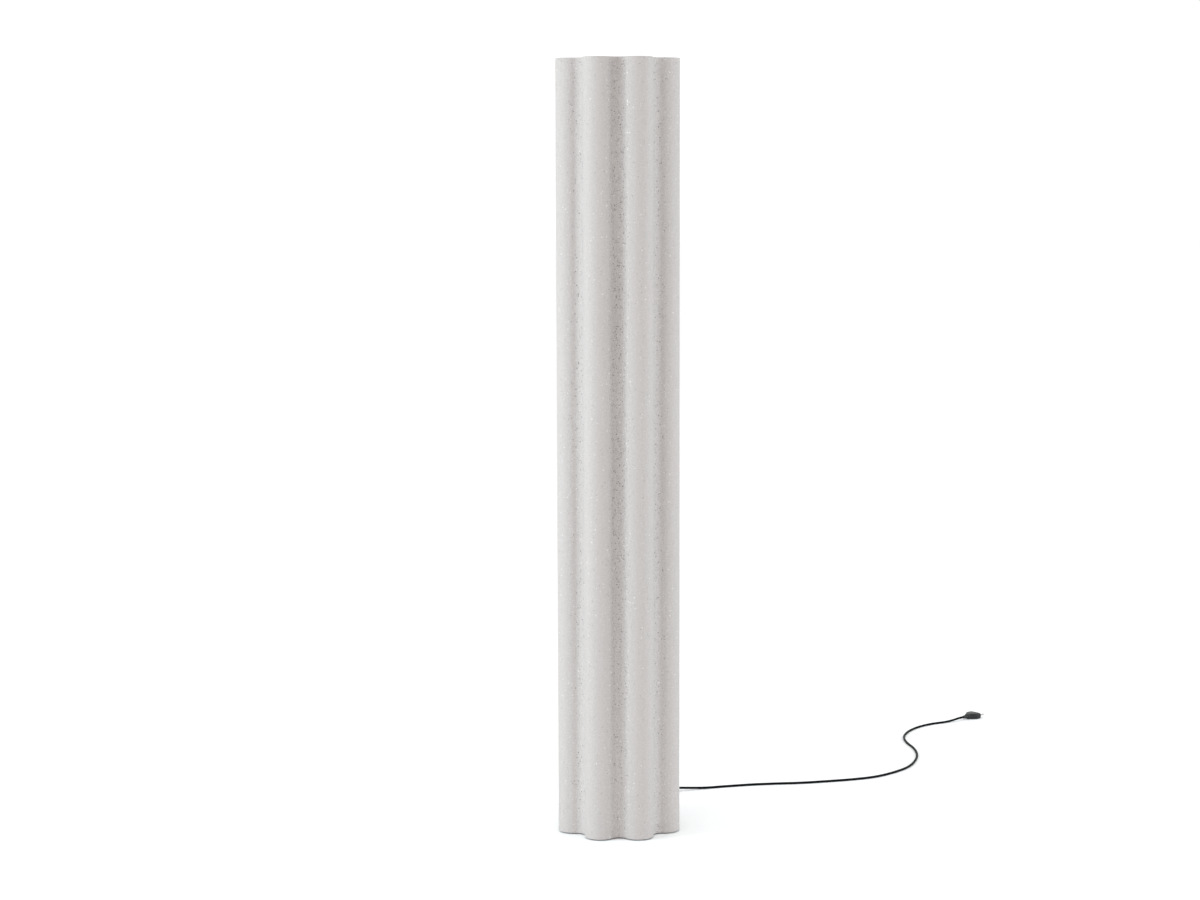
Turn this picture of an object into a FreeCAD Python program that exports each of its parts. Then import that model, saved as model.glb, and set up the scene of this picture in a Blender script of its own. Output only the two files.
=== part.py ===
"""Floor lamp: a tall fluted tube shade round a central pole with two screw-in bulbs, on a heavy
plate, with a black cord, a foot switch and a two-pin plug.

Frame: +Z up, origin on the floor at the middle of the base, +Y to the back, millimetres.
"""

import FreeCAD, Part
import math
import os
import re

import Sketcher
from FreeCAD import Placement, Rotation, Vector

# Driving sizes in millimetres, angles in degrees. A word that ends in share is a share of a length.
SIZES = {
    # one overrun for every cut that has to pass a face
    "overrun_length": 2,
    # the shade: round lobes with rounded valleys between them
    "overall_height": 1500,
    "shade_floor_gap": 2,
    "lobe_count": 8,
    "lobe_tip_radius": 126,
    "lobe_round_radius": 30,
    "valley_round_radius": 17,
    "shade_wall": 2,
    "notch_clearance": 1,
    # the collars bonded inside the shade
    "bond_gap": 0.2,
    "collar_thickness": 6,
    "collar_rib_width": 8.8,
    "collar_seat_gap": 0.3,
    # the spider that hangs the shade on the pole
    "spider_drop": 54,
    "spider_thickness": 3,
    "spider_end_gap": 0.8,
    "spider_arm_width": 12,
    "spider_hub_radius": 18,
    # the stud on the pole, and the finial that screws on it
    "stud_radius": 5,
    "stud_length": 22,
    "stud_shoulder_radius": 12,
    "stud_shoulder_height": 16,
    "stud_plug_length": 20,
    "finial_radius": 14,
    "finial_foot_radius": 10,
    "finial_crown_radius": 6,
    "finial_foot_height": 3,
    "finial_grip_height": 12,
    "finial_crown_height": 9,
    "finial_bore_spare": 1,
    # the base plate and its feet
    "base_plate_thickness": 15,
    "base_plate_clearance": 1,
    "foot_height": 5,
    "foot_radius": 11,
    "foot_edge_margin": 5,
    "foot_count": 4,
    "foot_recess_depth": 3,
    "foot_counterbore_depth": 4,
    "foot_screw_bite": 8,
    "bore_spare": 1,
    # fasteners
    "small_screw_radius": 2,
    "small_head_radius": 3.6,
    "small_head_height": 2.4,
    "large_screw_radius": 2.5,
    "large_head_radius": 4.6,
    "large_head_height": 3,
    "hole_clearance": 0.1,
    "head_clearance": 0.6,
    "drive_radius_share": 0.5,
    "drive_depth_share": 0.6,
    # the pole and the flange it stands in
    "pole_radius": 8,
    "pole_wall": 1.5,
    "pole_clearance": 0.05,
    "flange_radius": 32,
    "flange_thickness": 6,
    "flange_hub_radius": 15,
    "flange_hub_height": 26,
    "flange_screw_circle_radius": 23.5,
    "flange_screw_count": 3,
    "flange_screw_bite": 10,
    # the lamp stations on the pole
    "station_count": 2,
    "station_first_height": 380,
    "station_spacing": 600,
    "station_turn": 180,
    "arm_reach": 48,
    "arm_thickness": 3,
    "arm_width": 20,
    "arm_end_radius": 14,
    "arm_collar_radius": 13,
    "arm_collar_height": 14,
    "nipple_radius": 5,
    "nipple_bore_radius": 3.5,
    "nipple_below": 8,
    "nipple_above": 8,
    "nut_width": 14,
    "nut_height": 4,
    # lampholder
    "holder_radius": 20,
    "holder_wall": 1.8,
    "holder_foot_radius": 12,
    "holder_floor": 2,
    "holder_cone_height": 12,
    "holder_cap_height": 18,
    "holder_ledge": 4,
    "holder_barrel_height": 36,
    "holder_mouth_radius": 14.5,
    "insert_thickness": 6,
    "screw_shell_height": 24,
    "screw_shell_wall": 0.8,
    "contact_radius": 3,
    "contact_height": 2.5,
    # bulb
    "bulb_cap_radius": 13.1,
    "bulb_cap_height": 26,
    "bulb_cap_floor": 2,
    "bulb_tip_radius": 4,
    "bulb_tip_height": 4.4,
    "bulb_clearance": 0.3,
    "globe_radius": 30,
    "globe_wall": 1.2,
    "globe_rise": 48,
    "globe_neck_radius": 13.5,
    "globe_shoulder_radius": 26,
    "stem_radius": 3,
    "stem_height": 22,
    "stem_plate_thickness": 1,
    "stem_plate_radius": 8,
    "filament_count": 4,
    "filament_radius": 1,
    "filament_length": 26,
    "filament_circle_radius": 6,
    # leads inside, their splices, and the grommets in the pole
    "lead_radius": 1.8,
    "lead_exit_drop": 44,
    "lead_entry_gap": 9.6,
    "lead_rise_back": 26,
    "lead_bend_radius": 9,
    "lead_tight_bend_radius": 4.5,
    "splice_width": 6,
    "splice_length": 12,
    "grommet_wall": 1.2,
    "grommet_flange_radius": 4.4,
    "grommet_flange_thickness": 1.2,
    # terminal box on the base plate
    "terminal_length": 44,
    "terminal_width": 28,
    "terminal_height": 18,
    "terminal_wall": 2,
    "terminal_centre_back": 52,
    "terminal_lid_thickness": 2,
    "block_length": 16,
    "block_width": 9,
    "block_height": 12,
    "block_centre_back": 45.5,
    "terminal_screw_inset": 5,
    "terminal_boss_radius": 4,
    "terminal_screw_bite": 6,
    # the cord, its strain relief and the strap that clamps it in the plate's slot
    "cord_radius": 2.5,
    "cord_fit": 0.1,
    "relief_body_radius": 4.5,
    "relief_body_length": 12,
    "relief_root_radius": 4.1,
    "relief_tip_radius": 3.3,
    "relief_inside_length": 21,
    "relief_length": 37,
    "slot_clearance": 0.4,
    "riser_hole_radius": 4.2,
    "riser_hole_back": 46.5,
    "strap_length": 32,
    "strap_width": 8,
    "strap_thickness": 2,
    "strap_screw_across": 11,
    "strap_screw_bite": 8,
    # the coil of put-away cord, left of and behind the cord's way out, and its tie
    "coil_centre_left": 40,
    "coil_centre_back": 61,
    "coil_radius": 37,
    "coil_pitch": 5.6,
    "coil_floor_gap": 1.2,
    "coil_inward_half_turns": 6,
    "coil_outward_half_turns": 5,
    "tie_thickness": 0.8,
    "tie_width": 8,
    "tie_side_clearance": 0.6,
    "tie_lift_clearance": 0.4,
    # foot switch, its middle right of and behind the cord's way out
    "switch_right": 72.5,
    "switch_back": 146.4,
    "switch_heading": 16,
    "switch_length": 58,
    "switch_width": 27,
    "switch_corner_radius": 10,
    "switch_parting_height": 7.5,
    "switch_height": 18,
    "switch_edge_round": 3,
    "switch_wall": 2,
    "switch_contact_length": 50,
    "switch_contact_width": 9,
    "switch_contact_height": 9,
    "switch_boss_along": 22.5,
    "switch_boss_across": 7.3,
    "switch_boss_radius": 2.4,
    "switch_screw_radius": 1.2,
    "switch_head_radius": 2,
    "switch_head_height": 1.2,
    "switch_screw_bite": 4,
    "button_radius": 9.5,
    "button_flange_radius": 11,
    "button_flange_thickness": 1.5,
    "button_proud": 6,
    "button_wall": 2,
    "button_edge_round": 1.2,
    "button_clearance": 0.3,
    "spring_radius": 3.8,
    "spring_wire_radius": 0.4,
    "spring_turns": 5,
    # the sleeves on the cord at the switch and the plug
    "sleeve_length": 12,
    "sleeve_tip_radius": 3.2,
    "sleeve_root_radius": 4.8,
    # plug, its rear end right of and behind the cord's way out
    "plug_right": 824,
    "plug_back": 853,
    "plug_heading": 40,
    "plug_thickness": 13.7,
    "plug_length": 32,
    "plug_width": 35.3,
    "plug_waist_width": 20,
    "plug_neck_width": 12,
    "plug_waist_share": 0.4,
    "plug_shoulder_share": 0.68,
    "plug_edge_round": 1.5,
    "pin_radius": 2,
    "pin_length": 19,
    "pin_pitch": 18.6,
    "pin_root_length": 6,
    "pin_root_radius": 2.8,
}

# The reach of a free cord's arc along the shorter of its two runs.
CORD_RUN_SHARE = 0.45

# The points measured on each half turn of the coil.
COIL_STEPS = 40

# The free cord's routes on the floor, as points chosen by hand from the photograph. Each is right
# of, behind and above the floor point under the end of the strain relief.
CORD_FROM_LAMP = [
    (0, 0, 11.5), (0, 13, 11.5), (-1.2, 29, 7.4), (-3, 43, 3.7), (-3, 56, 3.7),
]
CORD_TO_SWITCH = [
    (-5.8, 66, 9.3), (-5.8, 89, 9.3), (-1.5, 112, 7), (20.6, 131.5, 7.5),
    (48.45, 139.5, 7.5),
]
CORD_TO_PLUG = [
    (96.55, 153.3, 7.5), (124.9, 161.42, 7.5), (153.5, 170.2, 4.9), (184, 180, 2.5),
    (230, 194.6, 2.5), (282, 208.6, 2.5), (334, 216.6, 2.5), (387, 221.4, 2.5),
    (440, 234.6, 2.5), (498, 250.4, 2.5), (553, 274, 2.5), (594, 312, 2.5),
    (633, 361, 2.5), (656, 421, 2.5), (668.5, 481, 2.5), (669.5, 545, 2.5),
    (658, 605, 2.5), (658.5, 663, 2.5), (677, 721, 2.5), (706, 768, 2.5),
    (742, 802, 2.5), (778, 819.5, 2.5), (800, 832.6, 5), (812.2, 843.1, 6.85),
    (824, 853, 6.85),
]

doc = FreeCAD.newDocument("FloorLamp")
sub_parts = []


def write_sizes():
    """Puts every driving size in the spreadsheet, one alias each."""
    cells = doc.addObject("Spreadsheet::Sheet", "Sizes")
    for row, (alias, size_value) in enumerate(SIZES.items(), start=1):
        cells.set(f"A{row}", alias)
        cells.set(f"B{row}", str(size_value))
        cells.setAlias(f"B{row}", alias)
    doc.recompute()
    return cells


sheet = write_sizes()
ALIAS = re.compile(r"\b[a-z][a-z0-9]*_[a-z0-9_]+\b")


def bound(text):
    """An expression on the sizes, with each alias named as a cell of the sheet."""
    return ALIAS.sub(r"Sizes.\g<0>", text)


def value(text):
    """The number that an expression on the sizes gives."""
    found = sheet.evalExpression(bound(text))
    return float(getattr(found, "Value", found))


def bind(item, prop, text):
    item.setExpression(prop, bound(text))


def place(item, x="0", y="0", z="0", axis=(0, 0, 1), angle="0"):
    """Turns an object about its own origin, then carries that origin to a bound place."""
    item.Placement = Placement(
        Vector(value(x), value(y), value(z)), Rotation(Vector(*axis), value(angle))
    )
    for letter, text in zip("xyz", (x, y, z)):
        if text != "0":
            bind(item, f"Placement.Base.{letter}", text)
    return item


def sub_part(item, node):
    """Names a finished object as one node of the lamp."""
    item.Label = node
    sub_parts.append(item)
    return item


def cylinder(name, radius, height, **at):
    item = doc.addObject("Part::Cylinder", name)
    bind(item, "Radius", radius)
    bind(item, "Height", height)
    return place(item, **at)


def box(name, length, width, height, x="0", y="0", z="0"):
    """A box whose x and y are its middle and whose z is its foot."""
    item = doc.addObject("Part::Box", name)
    bind(item, "Length", length)
    bind(item, "Width", width)
    bind(item, "Height", height)
    return place(item, f"({x}) - ({length}) / 2", f"({y}) - ({width}) / 2", z)


def cone(name, first_radius, second_radius, height, **at):
    item = doc.addObject("Part::Cone", name)
    bind(item, "Radius1", first_radius)
    bind(item, "Radius2", second_radius)
    bind(item, "Height", height)
    return place(item, **at)


def sphere(name, radius, **at):
    item = doc.addObject("Part::Sphere", name)
    bind(item, "Radius", radius)
    return place(item, **at)


def fuse(name, *items):
    item = doc.addObject("Part::MultiFuse", name)
    item.Shapes = list(items)
    return item


def cut(name, base, *tools):
    item = doc.addObject("Part::Cut", name)
    item.Base = base
    item.Tool = tools[0] if len(tools) == 1 else fuse(name + "_tools", *tools)
    return item


def group(name, items):
    item = doc.addObject("Part::Compound", name)
    item.Links = items
    return item


def carried(name, item):
    """A placed object, wrapped so that it can be placed once more as a whole."""
    return group(name, [item])


def origin_plane(body, role):
    return next(o for o in body.Origin.OriginFeatures if o.Role == role)


def new_sketch(body, name, role):
    sketch = body.newObject("Sketcher::SketchObject", name)
    sketch.AttachmentSupport = (origin_plane(body, role), [""])
    sketch.MapMode = "FlatFace"
    return sketch


def polygon(sketch, corners):
    """A closed outline whose corners are each bound to a pair of expressions."""
    places = [Vector(value(a), value(b), 0) for a, b in corners]
    count = len(corners)
    for k in range(count):
        sketch.addGeometry(Part.LineSegment(places[k], places[(k + 1) % count]))
    for k in range(count):
        sketch.addConstraint(Sketcher.Constraint("Coincident", k, 2, (k + 1) % count, 1))
    for k, (across, up) in enumerate(corners):
        for kind, text, line in (("DistanceX", across, -2), ("DistanceY", up, -1)):
            if text == "0":
                sketch.addConstraint(Sketcher.Constraint("PointOnObject", k, 1, line))
            else:
                rule = Sketcher.Constraint(kind, -1, 1, k, 1, value(text))
                bind(sketch, f"Constraints[{sketch.addConstraint(rule)}]", text)


def turned(name, outline):
    """A piece turned about its own Z axis, from the radius and height of each corner."""
    body = doc.addObject("PartDesign::Body", name)
    sketch = new_sketch(body, name + "_outline", "XZ_Plane")
    polygon(sketch, outline)
    turn = body.newObject("PartDesign::Revolution", name + "_turn")
    turn.Profile = sketch
    turn.ReferenceAxis = (sketch, ["V_Axis"])
    turn.Angle = 360
    body.Tip = turn
    return body


def padded_outline(name, corners, height, edge):
    """A flat outline raised by a height above the XY plane, with every edge rounded."""
    body = doc.addObject("PartDesign::Body", name)
    sketch = new_sketch(body, name + "_outline", "XY_Plane")
    polygon(sketch, corners)
    pad = body.newObject("PartDesign::Pad", name + "_pad")
    pad.Profile = sketch
    bind(pad, "Length", height)
    doc.recompute()
    fillet = body.newObject("PartDesign::Fillet", name + "_edges")
    fillet.Base = (pad, ["Edge1"])
    fillet.UseAllEdges = True
    bind(fillet, "Radius", edge)
    body.Tip = fillet
    return body


def around(count, radius, first_angle):
    """The x and y expressions of evenly spaced places on a circle."""
    for k in range(int(value(count))):
        angle = f"({first_angle} + {k} * 360 / {count})"
        yield f"({radius}) * cos{angle}", f"({radius}) * sin{angle}"


# Heights and radii that several pieces share.
PLATE_TOP = "(foot_height + base_plate_thickness)"
SPIDER_SEAT = "(overall_height - spider_drop)"
POLE_TOP = f"({SPIDER_SEAT} - stud_shoulder_height)"
POLE_BORE = "(pole_radius - pole_wall)"
HALF_LOBE = "(180 / lobe_count)"
LOBE_CENTRE = "(lobe_tip_radius - lobe_round_radius)"
VALLEY_RADIUS = (
    f"({LOBE_CENTRE} * cos{HALF_LOBE} - valley_round_radius + sqrt((lobe_round_radius"
    f" + valley_round_radius)^2 - ({LOBE_CENTRE} * sin{HALF_LOBE})^2))"
)
SHADE_BORE = f"({VALLEY_RADIUS} - shade_wall)"
COLLAR_BORE = f"({SHADE_BORE} - bond_gap - collar_rib_width)"
COLLAR_SCREW_CIRCLE = f"({COLLAR_BORE} + collar_rib_width / 2)"
SPIDER_REACH = f"({SHADE_BORE} - bond_gap - spider_end_gap)"
FOOT_CIRCLE = f"({SHADE_BORE} - base_plate_clearance - foot_edge_margin - foot_radius)"
RELIEF_START = f"({VALLEY_RADIUS} - relief_inside_length)"
RELIEF_END = f"({RELIEF_START} + relief_length)"
SMALL_HOLE = "(small_screw_radius + hole_clearance)"
LARGE_HOLE = "(large_screw_radius + hole_clearance)"
LEAD_HOLE = "(lead_radius + hole_clearance)"
CORD_HOLE = "(cord_radius + cord_fit)"
CORD_HEIGHT = "(foot_height + strap_thickness + relief_body_radius)"
HOLDER_SEAT = "(holder_cap_height - holder_ledge)"
INSERT_TOP = f"({HOLDER_SEAT} + insert_thickness)"
BULB_FOOT = f"({INSERT_TOP} + contact_height + bulb_clearance)"
GLOBE_FOOT = "(bulb_tip_height + bulb_cap_height)"
GROMMET_BODY = "(lead_radius + hole_clearance + grommet_wall)"
STRAP_BACK = f"({RELIEF_START} + relief_body_length / 2)"
TERMINAL_SCREW_ACROSS = "(terminal_length / 2 - terminal_screw_inset)"
BLOCK_FRONT = "(block_centre_back - block_width / 2)"
LEAD_HEIGHT = f"({PLATE_TOP} + terminal_wall + block_height / 2)"
FLANGE_SET_HEIGHT = f"({PLATE_TOP} + flange_thickness + flange_hub_height / 2)"
LEAD_ENTRY = (
    f"({PLATE_TOP} + flange_thickness + flange_hub_height + lead_entry_gap + grommet_flange_radius)"
)


def lobed_prism(name, inset, height, z):
    """The shade's fluted outline, drawn in by inset and raised by height.

    One wedge is sketched: a lobe's arc on the X axis and half a valley's arc on each side of it,
    tangent to it. The wedge is patterned round the axis, and turned so that a valley faces front.
    """
    body = doc.addObject("PartDesign::Body", name)
    sketch = new_sketch(body, name + "_wedge", "XY_Plane")
    half = math.radians(value(HALF_LOBE))
    lobe_round = value(f"lobe_round_radius - ({inset})")
    valley_round = value(f"valley_round_radius + ({inset})")
    lobe_middle = value(LOBE_CENTRE)
    reach = math.sqrt((lobe_round + valley_round) ** 2 - (lobe_middle * math.sin(half)) ** 2)
    valley_middle = lobe_middle * math.cos(half) + reach
    ray = Vector(math.cos(half), math.sin(half), 0)
    lobe, valley = Vector(lobe_middle, 0, 0), ray * valley_middle
    towards = math.atan2(valley.y - lobe.y, valley.x - lobe.x)
    bottom = ray * (valley_middle - valley_round)
    up = Vector(0, 0, 1)
    low_valley = Vector(valley.x, -valley.y, 0)
    arcs = [
        (low_valley, valley_round, math.pi - towards, math.pi - half),
        (lobe, lobe_round, -towards, towards),
        (valley, valley_round, math.pi + half, math.pi + towards),
    ]
    sketch.addGeometry(Part.LineSegment(Vector(), Vector(bottom.x, -bottom.y, 0)))
    for centre, radius, start, end in arcs:
        sketch.addGeometry(Part.ArcOfCircle(Part.Circle(centre, up, radius), start, end))
    sketch.addGeometry(Part.LineSegment(bottom, Vector()))
    for rule in (
        ("Coincident", 0, 1, -1, 1),
        ("Coincident", 4, 2, -1, 1),
        ("Coincident", 0, 2, 1, 2),
        ("Tangent", 1, 1, 2, 1),
        ("Tangent", 2, 2, 3, 2),
        ("Coincident", 3, 1, 4, 1),
        ("PointOnObject", 2, 3, -1),
        ("PointOnObject", 1, 3, 0),
        ("PointOnObject", 3, 3, 4),
        ("Equal", 0, 4),
    ):
        sketch.addConstraint(Sketcher.Constraint(*rule))
    for rule, size, text in (
        (("DistanceX", -1, 1, 2, 3), lobe_middle, LOBE_CENTRE),
        (("Radius", 2), lobe_round, f"lobe_round_radius - ({inset})"),
        (("Radius", 1), valley_round, f"valley_round_radius + ({inset})"),
        (("Radius", 3), valley_round, f"valley_round_radius + ({inset})"),
        (("Angle", 0, 1, 4, 2), 2 * half, f"2 * {HALF_LOBE}"),
    ):
        number = sketch.addConstraint(Sketcher.Constraint(*rule, size))
        bind(sketch, f"Constraints[{number}]", text)
    pad = body.newObject("PartDesign::Pad", name + "_pad")
    pad.Profile = sketch
    bind(pad, "Length", height)
    pattern = body.newObject("PartDesign::PolarPattern", name + "_lobes")
    pattern.Originals = [pad]
    pattern.Axis = (sketch, ["N_Axis"])
    pattern.Angle = 360
    bind(pattern, "Occurrences", "lobe_count")
    body.Tip = pattern
    return place(body, z=z, angle=HALF_LOBE)


def screw(name, kind, length, x="0", y="0", z="0", up=False):
    """One screw whose head rests on z. Its shank runs down from there, or up when it is turned."""
    shank = cylinder(name + "_shank", f"{kind}_screw_radius", length, z=f"-({length})")
    head = cylinder(name + "_head", f"{kind}_head_radius", f"{kind}_head_height")
    whole = fuse(name + "_whole", shank, head)
    depth = f"({kind}_head_height * drive_depth_share)"
    drive = doc.addObject("Part::Prism", name + "_drive")
    bind(drive, "Circumradius", f"{kind}_head_radius * drive_radius_share")
    bind(drive, "Height", depth)
    place(drive, z=f"{kind}_head_height - {depth}")
    made = cut(name, whole, drive)
    return place(made, x, y, z, axis=(1, 0, 0), angle="180" if up else "0")


def screws(node, kind, length, spots, up=False):
    """Alike screws, as one group of separate solids."""
    made = [
        screw(f"{node}_{k}", kind, length, *spot, up=up) for k, spot in enumerate(spots, start=1)
    ]
    return sub_part(made[0] if len(made) == 1 else group(node + "_group", made), node)


def bent_wire(points, radii):
    """Straight runs joined by an arc of the given radius, tangent to both, at each inner point."""
    spots = [Vector(*point) for point in points]
    edges = []
    here = spots[0]
    for before, corner, after, radius in zip(spots, spots[1:], spots[2:], radii):
        back = (before - corner).normalize()
        ahead = (after - corner).normalize()
        half_turn = (math.pi - back.getAngle(ahead)) / 2
        reach = radius * math.tan(half_turn)
        inward = (back + ahead).normalize()
        middle = corner + inward * (radius / math.cos(half_turn) - radius)
        start, end = corner + back * reach, corner + ahead * reach
        edges.append(Part.LineSegment(here, start).toShape())
        edges.append(Part.Arc(start, middle, end).toShape())
        here = end
    edges.append(Part.LineSegment(here, spots[-1]).toShape())
    return Part.Wire(edges)


def free_radii(points):
    """The arc radius at each inner point: as large as the shorter of its two runs allows."""
    spots = [Vector(*point) for point in points]
    radii = []
    for before, corner, after in zip(spots, spots[1:], spots[2:]):
        turn = (corner - before).getAngle(after - corner)
        shorter = min((corner - before).Length, (after - corner).Length)
        radii.append(CORD_RUN_SHARE * shorter / math.tan(turn / 2))
    return radii


def tube(node, wire, radius):
    """A round solid along a wire, its volume compared with its section times its length."""
    first = wire.Edges[0]
    heading = first.tangentAt(first.FirstParameter)
    section = Part.Wire(Part.makeCircle(radius, first.valueAt(first.FirstParameter), heading))
    solid = wire.makePipeShell([section], True, False)
    swept = math.pi * radius**2 * wire.Length
    print(f"{node}: {wire.Length:.1f} mm, volume over section times length {solid.Volume / swept:.5f}")
    return solid


def feature(node, shape):
    item = doc.addObject("Part::Feature", node + "_form")
    item.Shape = shape
    return sub_part(item, node)


def free_cord(node, route):
    """One stretch of the free cord, its route carried to where the cord leaves the lamp."""
    points = [(x, y + value(RELIEF_END), z) for x, y, z in route]
    radii = free_radii(points)
    print(f"{node}: radii", ", ".join(f"{radius:.0f}" for radius in radii))
    return feature(node, tube(node, bent_wire(points, radii), value("cord_radius")))


def held_lead(node, points, radii, thickness="lead_radius"):
    """A lead that is held all the way, through places given as expressions."""
    places = [[value(text) for text in point] for point in points]
    return tube(node, bent_wire(places, [value(text) for text in radii]), value(thickness))


def shade_parts():
    outer = lobed_prism("shade_outside", "0", "overall_height - shade_floor_gap", "shade_floor_gap")
    inner = lobed_prism(
        "shade_inside",
        "shade_wall",
        "overall_height + 2 * overrun_length",
        "-overrun_length",
    )
    notch_half = "(relief_root_radius + notch_clearance)"
    notch_top = f"({CORD_HEIGHT} + {notch_half})"
    notch = box(
        "shade_notch", f"2 * {notch_half}", f"lobe_tip_radius - {COLLAR_BORE}",
        f"{notch_top} + overrun_length",
        y=f"(lobe_tip_radius + {COLLAR_BORE}) / 2", z="-overrun_length",
    )
    sub_part(cut("shade_shell", outer, inner, notch), "shade")
    inset = "shade_wall + bond_gap"
    spots = list(around("4", COLLAR_SCREW_CIRCLE, "45"))
    lower = lobed_prism("lower_collar_blank", inset, "collar_thickness", f"{PLATE_TOP} + collar_seat_gap")
    lower_bore = cylinder("lower_collar_bore", COLLAR_BORE, "overall_height")
    sub_part(cut("lower_collar_ring", lower, lower_bore), "lower_collar")
    collar_foot = f"({SPIDER_SEAT} + spider_thickness)"
    upper = lobed_prism("upper_collar_blank", inset, "collar_thickness", collar_foot)
    upper_tools = [cylinder("upper_collar_bore", COLLAR_BORE, "overall_height")]
    for k, (x, y) in enumerate(spots):
        upper_tools.append(
            cylinder(f"upper_collar_hole_{k}", SMALL_HOLE, "collar_thickness", x=x, y=y, z=collar_foot)
        )
    sub_part(cut("upper_collar_ring", upper, *upper_tools), "upper_collar")
    arms = []
    for k in range(2):
        arm = doc.addObject("Part::Box", f"spider_arm_{k}")
        bind(arm, "Length", f"2 * {SPIDER_REACH}")
        bind(arm, "Width", "spider_arm_width")
        bind(arm, "Height", "spider_thickness")
        turned_arm = carried(f"spider_bar_{k}", arm)
        arm.Placement.Base = Vector(-value(SPIDER_REACH), -value("spider_arm_width / 2"), 0)
        bind(arm, "Placement.Base.x", f"-{SPIDER_REACH}")
        bind(arm, "Placement.Base.y", "-spider_arm_width / 2")
        arms.append(place(turned_arm, z=SPIDER_SEAT, angle=f"45 + {k} * 90"))
    hub = cylinder("spider_hub", "spider_hub_radius", "spider_thickness", z=SPIDER_SEAT)
    holes = [
        cylinder("spider_hub_hole", "stud_radius + hole_clearance", "spider_thickness", z=SPIDER_SEAT)
    ]
    for k, (x, y) in enumerate(spots):
        holes.append(
            cylinder(f"spider_hole_{k}", SMALL_HOLE, "spider_thickness", x=x, y=y, z=SPIDER_SEAT)
        )
    sub_part(cut("spider_cross", fuse("spider_blank", hub, *arms), *holes), "shade_spider")
    screws(
        "spider_screws", "small", "spider_thickness + collar_thickness",
        [(x, y, SPIDER_SEAT) for x, y in spots], up=True,
    )


def finial_and_stud():
    bore = "(pole_radius - pole_wall - pole_clearance)"
    stud = turned("stud_form", [
        ("0", "-stud_plug_length"),
        (bore, "-stud_plug_length"),
        (bore, "0"),
        ("stud_shoulder_radius", "0"),
        ("stud_shoulder_radius", "stud_shoulder_height"),
        ("stud_radius", "stud_shoulder_height"),
        ("stud_radius", "stud_shoulder_height + stud_length"),
        ("0", "stud_shoulder_height + stud_length"),
    ])
    sub_part(place(stud, z=POLE_TOP), "top_stud")
    hole = "(stud_radius + hole_clearance)"
    depth = "(stud_length - spider_thickness + finial_bore_spare)"
    grip_top = "(finial_foot_height + finial_grip_height)"
    finial = turned("finial_form", [
        (hole, "0"),
        ("finial_foot_radius", "0"),
        ("finial_radius", "finial_foot_height"),
        ("finial_radius", grip_top),
        ("finial_crown_radius", f"{grip_top} + finial_crown_height"),
        ("0", f"{grip_top} + finial_crown_height"),
        ("0", depth),
        (hole, depth),
    ])
    sub_part(place(finial, z=f"{SPIDER_SEAT} + spider_thickness"), "finial")


def base_parts():
    blank = lobed_prism(
        "base_blank", "shade_wall + base_plate_clearance", "base_plate_thickness", "foot_height"
    )
    slot_half = "(relief_body_radius + slot_clearance)"
    slot_front = "(block_centre_back - cord_radius - slot_clearance)"
    tools = [
        box(
            "base_slot", f"2 * {slot_half}", f"lobe_tip_radius - {slot_front}",
            f"{CORD_HEIGHT} + {slot_half}",
            y=f"(lobe_tip_radius + {slot_front}) / 2",
        ),
        cylinder("base_riser", "riser_hole_radius", "overall_height", y="riser_hole_back"),
        box(
            "base_strap_recess", "strap_length + 2 * slot_clearance",
            "strap_width + 2 * slot_clearance", "foot_height + strap_thickness",
            y=STRAP_BACK,
        ),
    ]
    feet = list(around("foot_count", FOOT_CIRCLE, "45"))
    for k, (x, y) in enumerate(feet):
        tools.append(cylinder(
            f"base_foot_recess_{k}", "foot_radius + hole_clearance",
            "foot_height + foot_recess_depth", x=x, y=y,
        ))
        tools.append(cylinder(
            f"base_foot_hole_{k}", SMALL_HOLE,
            "foot_height + foot_recess_depth + foot_screw_bite + bore_spare", x=x, y=y,
        ))
    for k, (x, y) in enumerate(around("flange_screw_count", "flange_screw_circle_radius", "30")):
        depth = "(flange_screw_bite + bore_spare)"
        tools.append(cylinder(
            f"base_flange_hole_{k}", LARGE_HOLE, f"{depth}", x=x, y=y, z=f"{PLATE_TOP} - {depth}"
        ))
    for side in ("", "-"):
        tools.append(cylinder(
            f"base_strap_hole{len(tools)}", SMALL_HOLE, "foot_height + strap_screw_bite + bore_spare",
            x=f"{side}strap_screw_across", y=STRAP_BACK,
        ))
        depth = "(terminal_screw_bite + bore_spare)"
        tools.append(cylinder(
            f"base_terminal_hole{len(tools)}", SMALL_HOLE, depth,
            x=f"{side}{TERMINAL_SCREW_ACROSS}", y="terminal_centre_back", z=f"{PLATE_TOP} - {depth}",
        ))
    sub_part(cut("base_form", blank, *tools), "base_plate")
    counterbore = "(small_head_radius + head_clearance)"
    top = "(foot_height + foot_recess_depth)"
    pads = []
    for k, (x, y) in enumerate(feet):
        pad = turned(f"foot_form_{k}", [
            (counterbore, "0"),
            ("foot_radius", "0"),
            ("foot_radius", top),
            (SMALL_HOLE, top),
            (SMALL_HOLE, "foot_counterbore_depth"),
            (counterbore, "foot_counterbore_depth"),
        ])
        pads.append(place(pad, x, y))
    sub_part(group("foot_group", pads), "foot_pads")
    screws(
        "foot_screws", "small", f"{top} - foot_counterbore_depth + foot_screw_bite",
        [(x, y, "foot_counterbore_depth") for x, y in feet], up=True,
    )


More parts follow.
